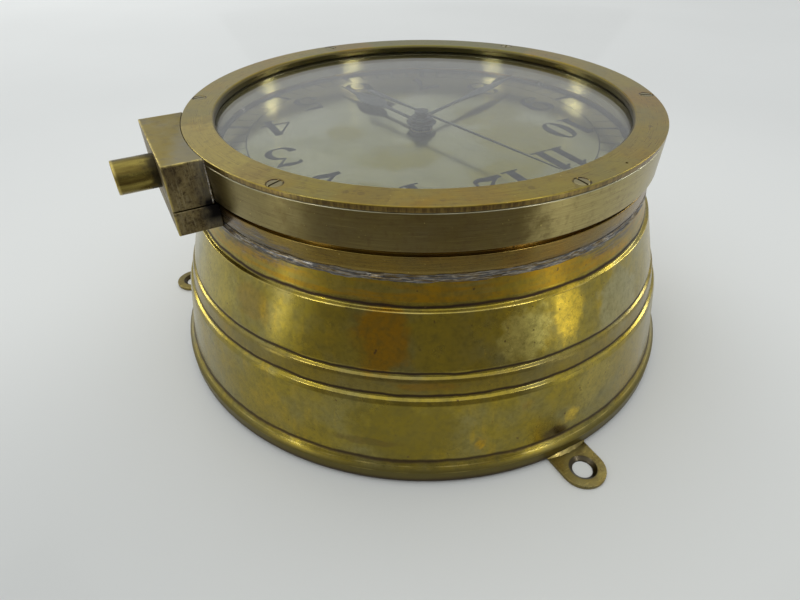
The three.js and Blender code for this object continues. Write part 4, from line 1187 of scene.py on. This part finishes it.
# ------------------------------------------------------------------ assembly
def build_clock():
    brass = spun_brass()
    sheet = sheet_brass()
    flange_metal = turned_brass("flange_brass", (0.27, 0.185, 0.04), (0.24, 0.115, 0.025),
                                (0.20, 0.16, 0.06), 0.28)
    # The two pale patches on the band, at azimuths 104 and 20, are painted reflection.
    band_metal = turned_brass("band_brass", (0.215, 0.17, 0.060), (0.165, 0.125, 0.04),
                              (0.195, 0.16, 0.075), 0.30, bore_shine=0.85,
                              patches=[(104, 86, 34, 16, (0.42, 0.35, 0.14), 0.85),
                                       (20, 86, 24, 14, (0.30, 0.25, 0.10), 0.6)], marks_and_painted_light=band_wear)
    ring_metal = turned_brass("ring_brass", (0.345, 0.27, 0.052), (0.36, 0.23, 0.032), (0.27, 0.235, 0.085),
                              0.30, 0.5, 0.30, patches=RING_STAINS, marks_and_painted_light=ring_wear)
    block_metal = block_brass()
    tin = solder_metal("soft_solder", TIN)
    seam_tin = solder_metal("bright_solder", (0.55, 0.54, 0.50))
    barrel_metal = barrel_brass()
    screw_metal = machined("screw_brass", (0.33, 0.285, 0.145), (0.15, 0.125, 0.065), 0.32)
    steel = machined("machined_steel", (0.52, 0.52, 0.53), (0.36, 0.35, 0.35), 0.28)
    works = machined("machined_brass", (0.66, 0.52, 0.24), (0.52, 0.38, 0.16), 0.26)
    dial_ink = ink()
    hands = blued_steel()

    piece("case_shell", carved(case_shell(), *lug_notches(BASE_R - 6.5, BACK_T + 0.15)), "case", brass,
          ["case_body"])
    piece("flange_ring", case_flange(), "case", flange_metal, ["case_flange"])
    piece("solder_fillet", solder_fillet(), "case", tin, smooth_angle=60)
    piece("back_disc", back_plate(), "case", sheet, ["back_plate"])
    for hour, angle in LUG_ANGLES.items():
        piece("lug_" + hour, lug(angle), "case", sheet, ["mounting_lug_" + hour])
        piece("lug_solder_" + hour, lug_solder(angle), "case", sheet, smooth_angle=60)

    piece("bezel_rim", bezel_band(), "bezel", band_metal, ["bezel_band"])
    piece("bezel_ring", retaining_ring(), "bezel", ring_metal, ["retaining_ring"])
    for i, angle in enumerate(SCREW_ANGLES):
        bm = screw(angle, math.radians(25 + 67 * i))
        piece(f"ring_screw_{i + 1}", bm, "bezel", screw_metal, [f"bezel_screw_{i + 1}"])
    piece("window", glass_disc(), "bezel", clear_glass(), ["glass"])
    piece("window_gasket", gasket_ring(), "bezel", soft_rubber(), ["glass_gasket"])

    piece("lock_upper", lock_block(), "bezel", block_metal, ["lock_block"])
    piece("lock_keeper", keeper_block(), "case", block_metal, ["keeper_block"])
    piece("lock_tube", lock_barrel(), "bezel", barrel_metal, ["lock_barrel"])
    for side, word in ((1, "upper"), (-1, "lower")):
        piece("lock_seam_" + word, seam_solder("lock_block", BEZEL_R + 0.1, side), "bezel", seam_tin)

    piece("hinge_leaf_bezel", hinge_bezel_leaf(), "bezel", block_metal,
          ["hinge_bezel_leaf"])
    piece("hinge_leaf_case", hinge_case_leaf(), "case", block_metal, ["hinge_case_leaf"])
    piece("hinge_rod", hinge_pin(), "case", screw_metal, ["hinge_pin"])

    piece("dial_plate", dial_plate(), "case", silvered(), ["dial"])
    for hour in range(1, 13):
        piece(f"figure_{hour}", numeral_bm(hour), "case", dial_ink, smooth_angle=20)
    piece("minute_track", minute_track_bm(), "case", dial_ink, smooth_angle=20)

    build_hands(hands)
    finish_nodes(works, steel)


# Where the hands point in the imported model, in degrees clockwise from twelve
HOUR_AT = 171.2
MINUTE_AT = 248
SECOND_AT = 349.5


def build_hands(metal):
    hour_right = smooth_outline([(0.9, 3.0), (0.85, 14), (0.9, 21), (1.2, 24.0), (3.2, 27.4), (4.6, 31.5),
                                 (4.7, 35.0), (3.4, 39.6), (1.7, 43.5), (1.0, 48), (0.0, 58.3)])
    minute_right = smooth_outline([(0.9, 3.0), (0.8, 24), (1.5, 32), (2.35, 40), (2.45, 45), (1.8, 53),
                                   (0.9, 60), (0.0, 68.8)])
    second_right = smooth_outline([(0.7, -34), (1.45, -31), (1.2, -22), (0.5, -8), (0.45, 0), (0.35, 40),
                                   (0.0, 66.8)])
    hour_low, hour_high = low("hour_hand").z, high("hour_hand").z
    minute_low, minute_high = low("minute_hand").z, high("minute_hand").z
    second_low, second_high = low("seconds_hand").z, high("seconds_hand").z
    hour_hub = hub_bm([(3.9, hour_low, 0), (4.9, hour_low, 0.1), (5.2, hour_high - 0.5, 0.15),
                       (5.8, hour_high - 0.4, 0.15), (5.8, hour_high, 0.25), (3.9, hour_high, 0)])
    minute_hub = hub_bm([(2.3, minute_low, 0), (4.6, minute_low, 0.2), (4.6, minute_low + 0.6, 0.15),
                         (4.0, minute_low + 0.7, 0.1), (4.0, minute_high, 0.3), (2.3, minute_high, 0)])
    second_hub = hub_bm([(0.7, second_low - 0.5, 0), (2.4, second_low - 0.5, 0.2),
                         (2.7, second_low + 0.3, 0.1), (2.7, second_high, 0.3),
                         (0.0, second_high + 0.5, 0.2), (0.0, second_low, 0)])
    hour = joined(hand_bm(hour_right, "hour_hand", HOUR_AT), hour_hub)
    minute = joined(hand_bm(minute_right, "minute_hand", MINUTE_AT), minute_hub)
    second = joined(hand_bm(second_right, "seconds_hand", SECOND_AT), second_hub)
    piece("hour_pointer", hour, "hour", metal, ["hour_hand"])
    piece("minute_pointer", minute, "centre", metal, ["minute_hand"])
    piece("seconds_pointer", second, "seconds", metal, ["seconds_hand"])


def finish_nodes(works, steel):
    """Gives every carried-over CAD node its metal."""
    metals = {"movement_brass": works, "steel": steel}
    for row in frame["record"]["subparts"]:
        node = NODES[row["node"]]
        if node.hide_render:
            continue
        metal = metals[row["material_slot"]]
        node.data.materials.clear()
        node.data.materials.append(metal)


# ------------------------------------------------------------------ studio
def floor_paper():
    graph = Graph("studio_paper", Metallic=0.0, Roughness=0.85)
    fibre = graph.noise(0.9, 4.0, 0.6)
    cloud = graph.noise(0.004, 3.0, 0.5)
    graph.tint = graph.mix(cloud, (0.70, 0.715, 0.71), (0.76, 0.775, 0.77))
    # Painted light: the paper lighter near the clock.
    near = graph.between(graph.r, 420, 150)
    graph.paint(near, (0.80, 0.815, 0.805))
    # Painted shadow: a darker patch on the paper about 220 mm out from the clock.
    graph.paint(graph.between(graph.distance((205, 85, 0)), 190, 0), (0.64, 0.655, 0.65))
    graph.feed(graph.shader.inputs["Base Color"], graph.tint)
    graph.bump((fibre, 0.05, 0.05))
    return graph.material


def build_studio():
    bm = bmesh.new()
    bmesh.ops.create_circle(bm, cap_ends=True, segments=96, radius=4.0)
    as_object("studio_floor", as_mesh(bm, "studio_floor"), floor_paper())

    towards_camera = math.degrees(math.atan2(CAMERA_AT.y, CAMERA_AT.x))
    for side in (-1, 1):
        word = "left" if side < 0 else "right"
        floor_glow("floor_glow_" + word, towards_camera + side * 54, 0.066 - 0.010 * side)
        for offset in (48, 112):
            add_light(f"high_strip_{word}_{offset}", polar(0.62, towards_camera + side * offset, 0.38),
                      width=0.05, height=0.32, power=0.7)
    fill = add_light("back_fill", polar(1.3, towards_camera + 215, 0.8), width=1.0, height=1.0,
                     power=3.6, aim=polar(0.6, towards_camera + 205))
    fill.visible_diffuse = True
    fill.visible_glossy = False
    fill.visible_transmission = False
    dark_card("front_card", towards_camera, 42, [(0.17, 0.002), (0.60, 0.002), (0.66, 0.03), (0.68, 0.24)])
    dark_card("back_card", towards_camera + 180, 24, [(0.26, 0.002), (0.70, 0.002), (0.74, 0.02)])
    build_world(towards_camera)


def add_light(name, at, width, height, power, aim=(0, 0, 0.05)):
    data = bpy.data.lights.new(name, "AREA")
    data.shape = "RECTANGLE"
    data.size = width
    data.size_y = height
    data.energy = power
    light = as_object(name, data)
    light.location = at
    light.rotation_mode = "QUATERNION"
    light.rotation_quaternion = (Vector(aim) - Vector(at)).to_track_quat("-Z", "Y")
    light.visible_camera = False
    light.visible_diffuse = False
    return light


def floor_glow(name, azimuth, power):
    """A bright streak along the floor beside the clock, seen only in the polished metal."""
    outward = polar(1, azimuth)
    light = add_light(name, polar(0.39, azimuth, 0.004), width=0.035, height=0.26, power=power)
    down = Vector((0, 0, -1))
    light.rotation_quaternion = Matrix((outward.cross(down), outward, down)).transposed().to_quaternion()


def dark_card(name, towards, half_angle, profile):
    """A dark sheet that lies on the floor and turns up at its far side. Only reflections see it,
    like the unlit room in front of a studio table."""
    steps = 24
    bm = bmesh.new()
    loops = []
    for k in range(steps + 1):
        angle = towards - half_angle + 2 * half_angle * k / steps
        loops.append([bm.verts.new(polar(r, angle, z)) for r, z in profile])
    for a, b in zip(loops, loops[1:]):
        for i in range(len(profile) - 1):
            bm.faces.new([a[i], b[i], b[i + 1], a[i + 1]])
    dark = Graph(name, Metallic=0.0, Roughness=0.9, Base_Color=(0.30, 0.28, 0.25))
    card = as_object(name, as_mesh(bm, name), dark.material)
    card.visible_camera = False
    card.visible_diffuse = False
    card.visible_transmission = False
    card.visible_shadow = False


def build_world(towards_camera):
    """A soft white tent, darker on the camera's side and low down at the back."""
    world = bpy.data.worlds.new("studio")
    bpy.context.scene.world = world
    world.use_nodes = True
    graph = Nodes(world.node_tree)
    direction = graph.node("ShaderNodeTexCoord").outputs["Generated"]
    height = graph.node("ShaderNodeSeparateXYZ", {0: direction}).outputs[2]

    def along(degrees):
        return graph.vector("DOT_PRODUCT", direction, polar(1, degrees))

    glow = graph.ramp(height, (0.0, 0.66), (0.19, 0.53), (0.28, 0.60), (0.47, 0.60), (0.74, 0.85),
                      (0.90, 1.10))
    front = graph.between(along(towards_camera), 0.25, 0.75)
    below = graph.between(height, 0.70, 0.30)
    shade = graph.minus(1.0, graph.times(graph.times(front, below), 0.6))
    lean = graph.plus(graph.times(along(towards_camera - 100), 0.14), 1.0)
    level = graph.times(shade, lean)
    background = graph.tree.nodes["Background"]
    graph.feed(background.inputs[0], graph.mix(1.0, glow, (0.985, 1.0, 0.998), "MULTIPLY"))
    graph.feed(background.inputs[1], level)


CAMERA_AT = Vector((0.1077, 0.1862, 0.1630))
CAMERA_ALONG = Vector((-0.3666, -0.7013, -0.6114))
CAMERA_ROLL = -0.0127
CAMERA_LENS_MM = 25.2


def build_camera():
    data = bpy.data.cameras.new("camera")
    data.lens = CAMERA_LENS_MM
    data.sensor_width = 36
    data.clip_start = 0.01
    camera = as_object("camera", data)
    forward = CAMERA_ALONG.normalized()
    right = forward.cross(Vector((0, 0, 1))).normalized()
    up = right.cross(forward)
    c, s = math.cos(CAMERA_ROLL), math.sin(CAMERA_ROLL)
    rolled_right = right * c + up * s
    rolled_up = up * c - right * s
    turn = Matrix((rolled_right, rolled_up, -forward)).transposed().to_4x4()
    camera.matrix_world = Matrix.Translation(CAMERA_AT) @ turn
    bpy.context.scene.camera = camera
    bpy.context.scene.view_settings.view_transform = "Standard"


build_camera()
build_clock()
build_studio()
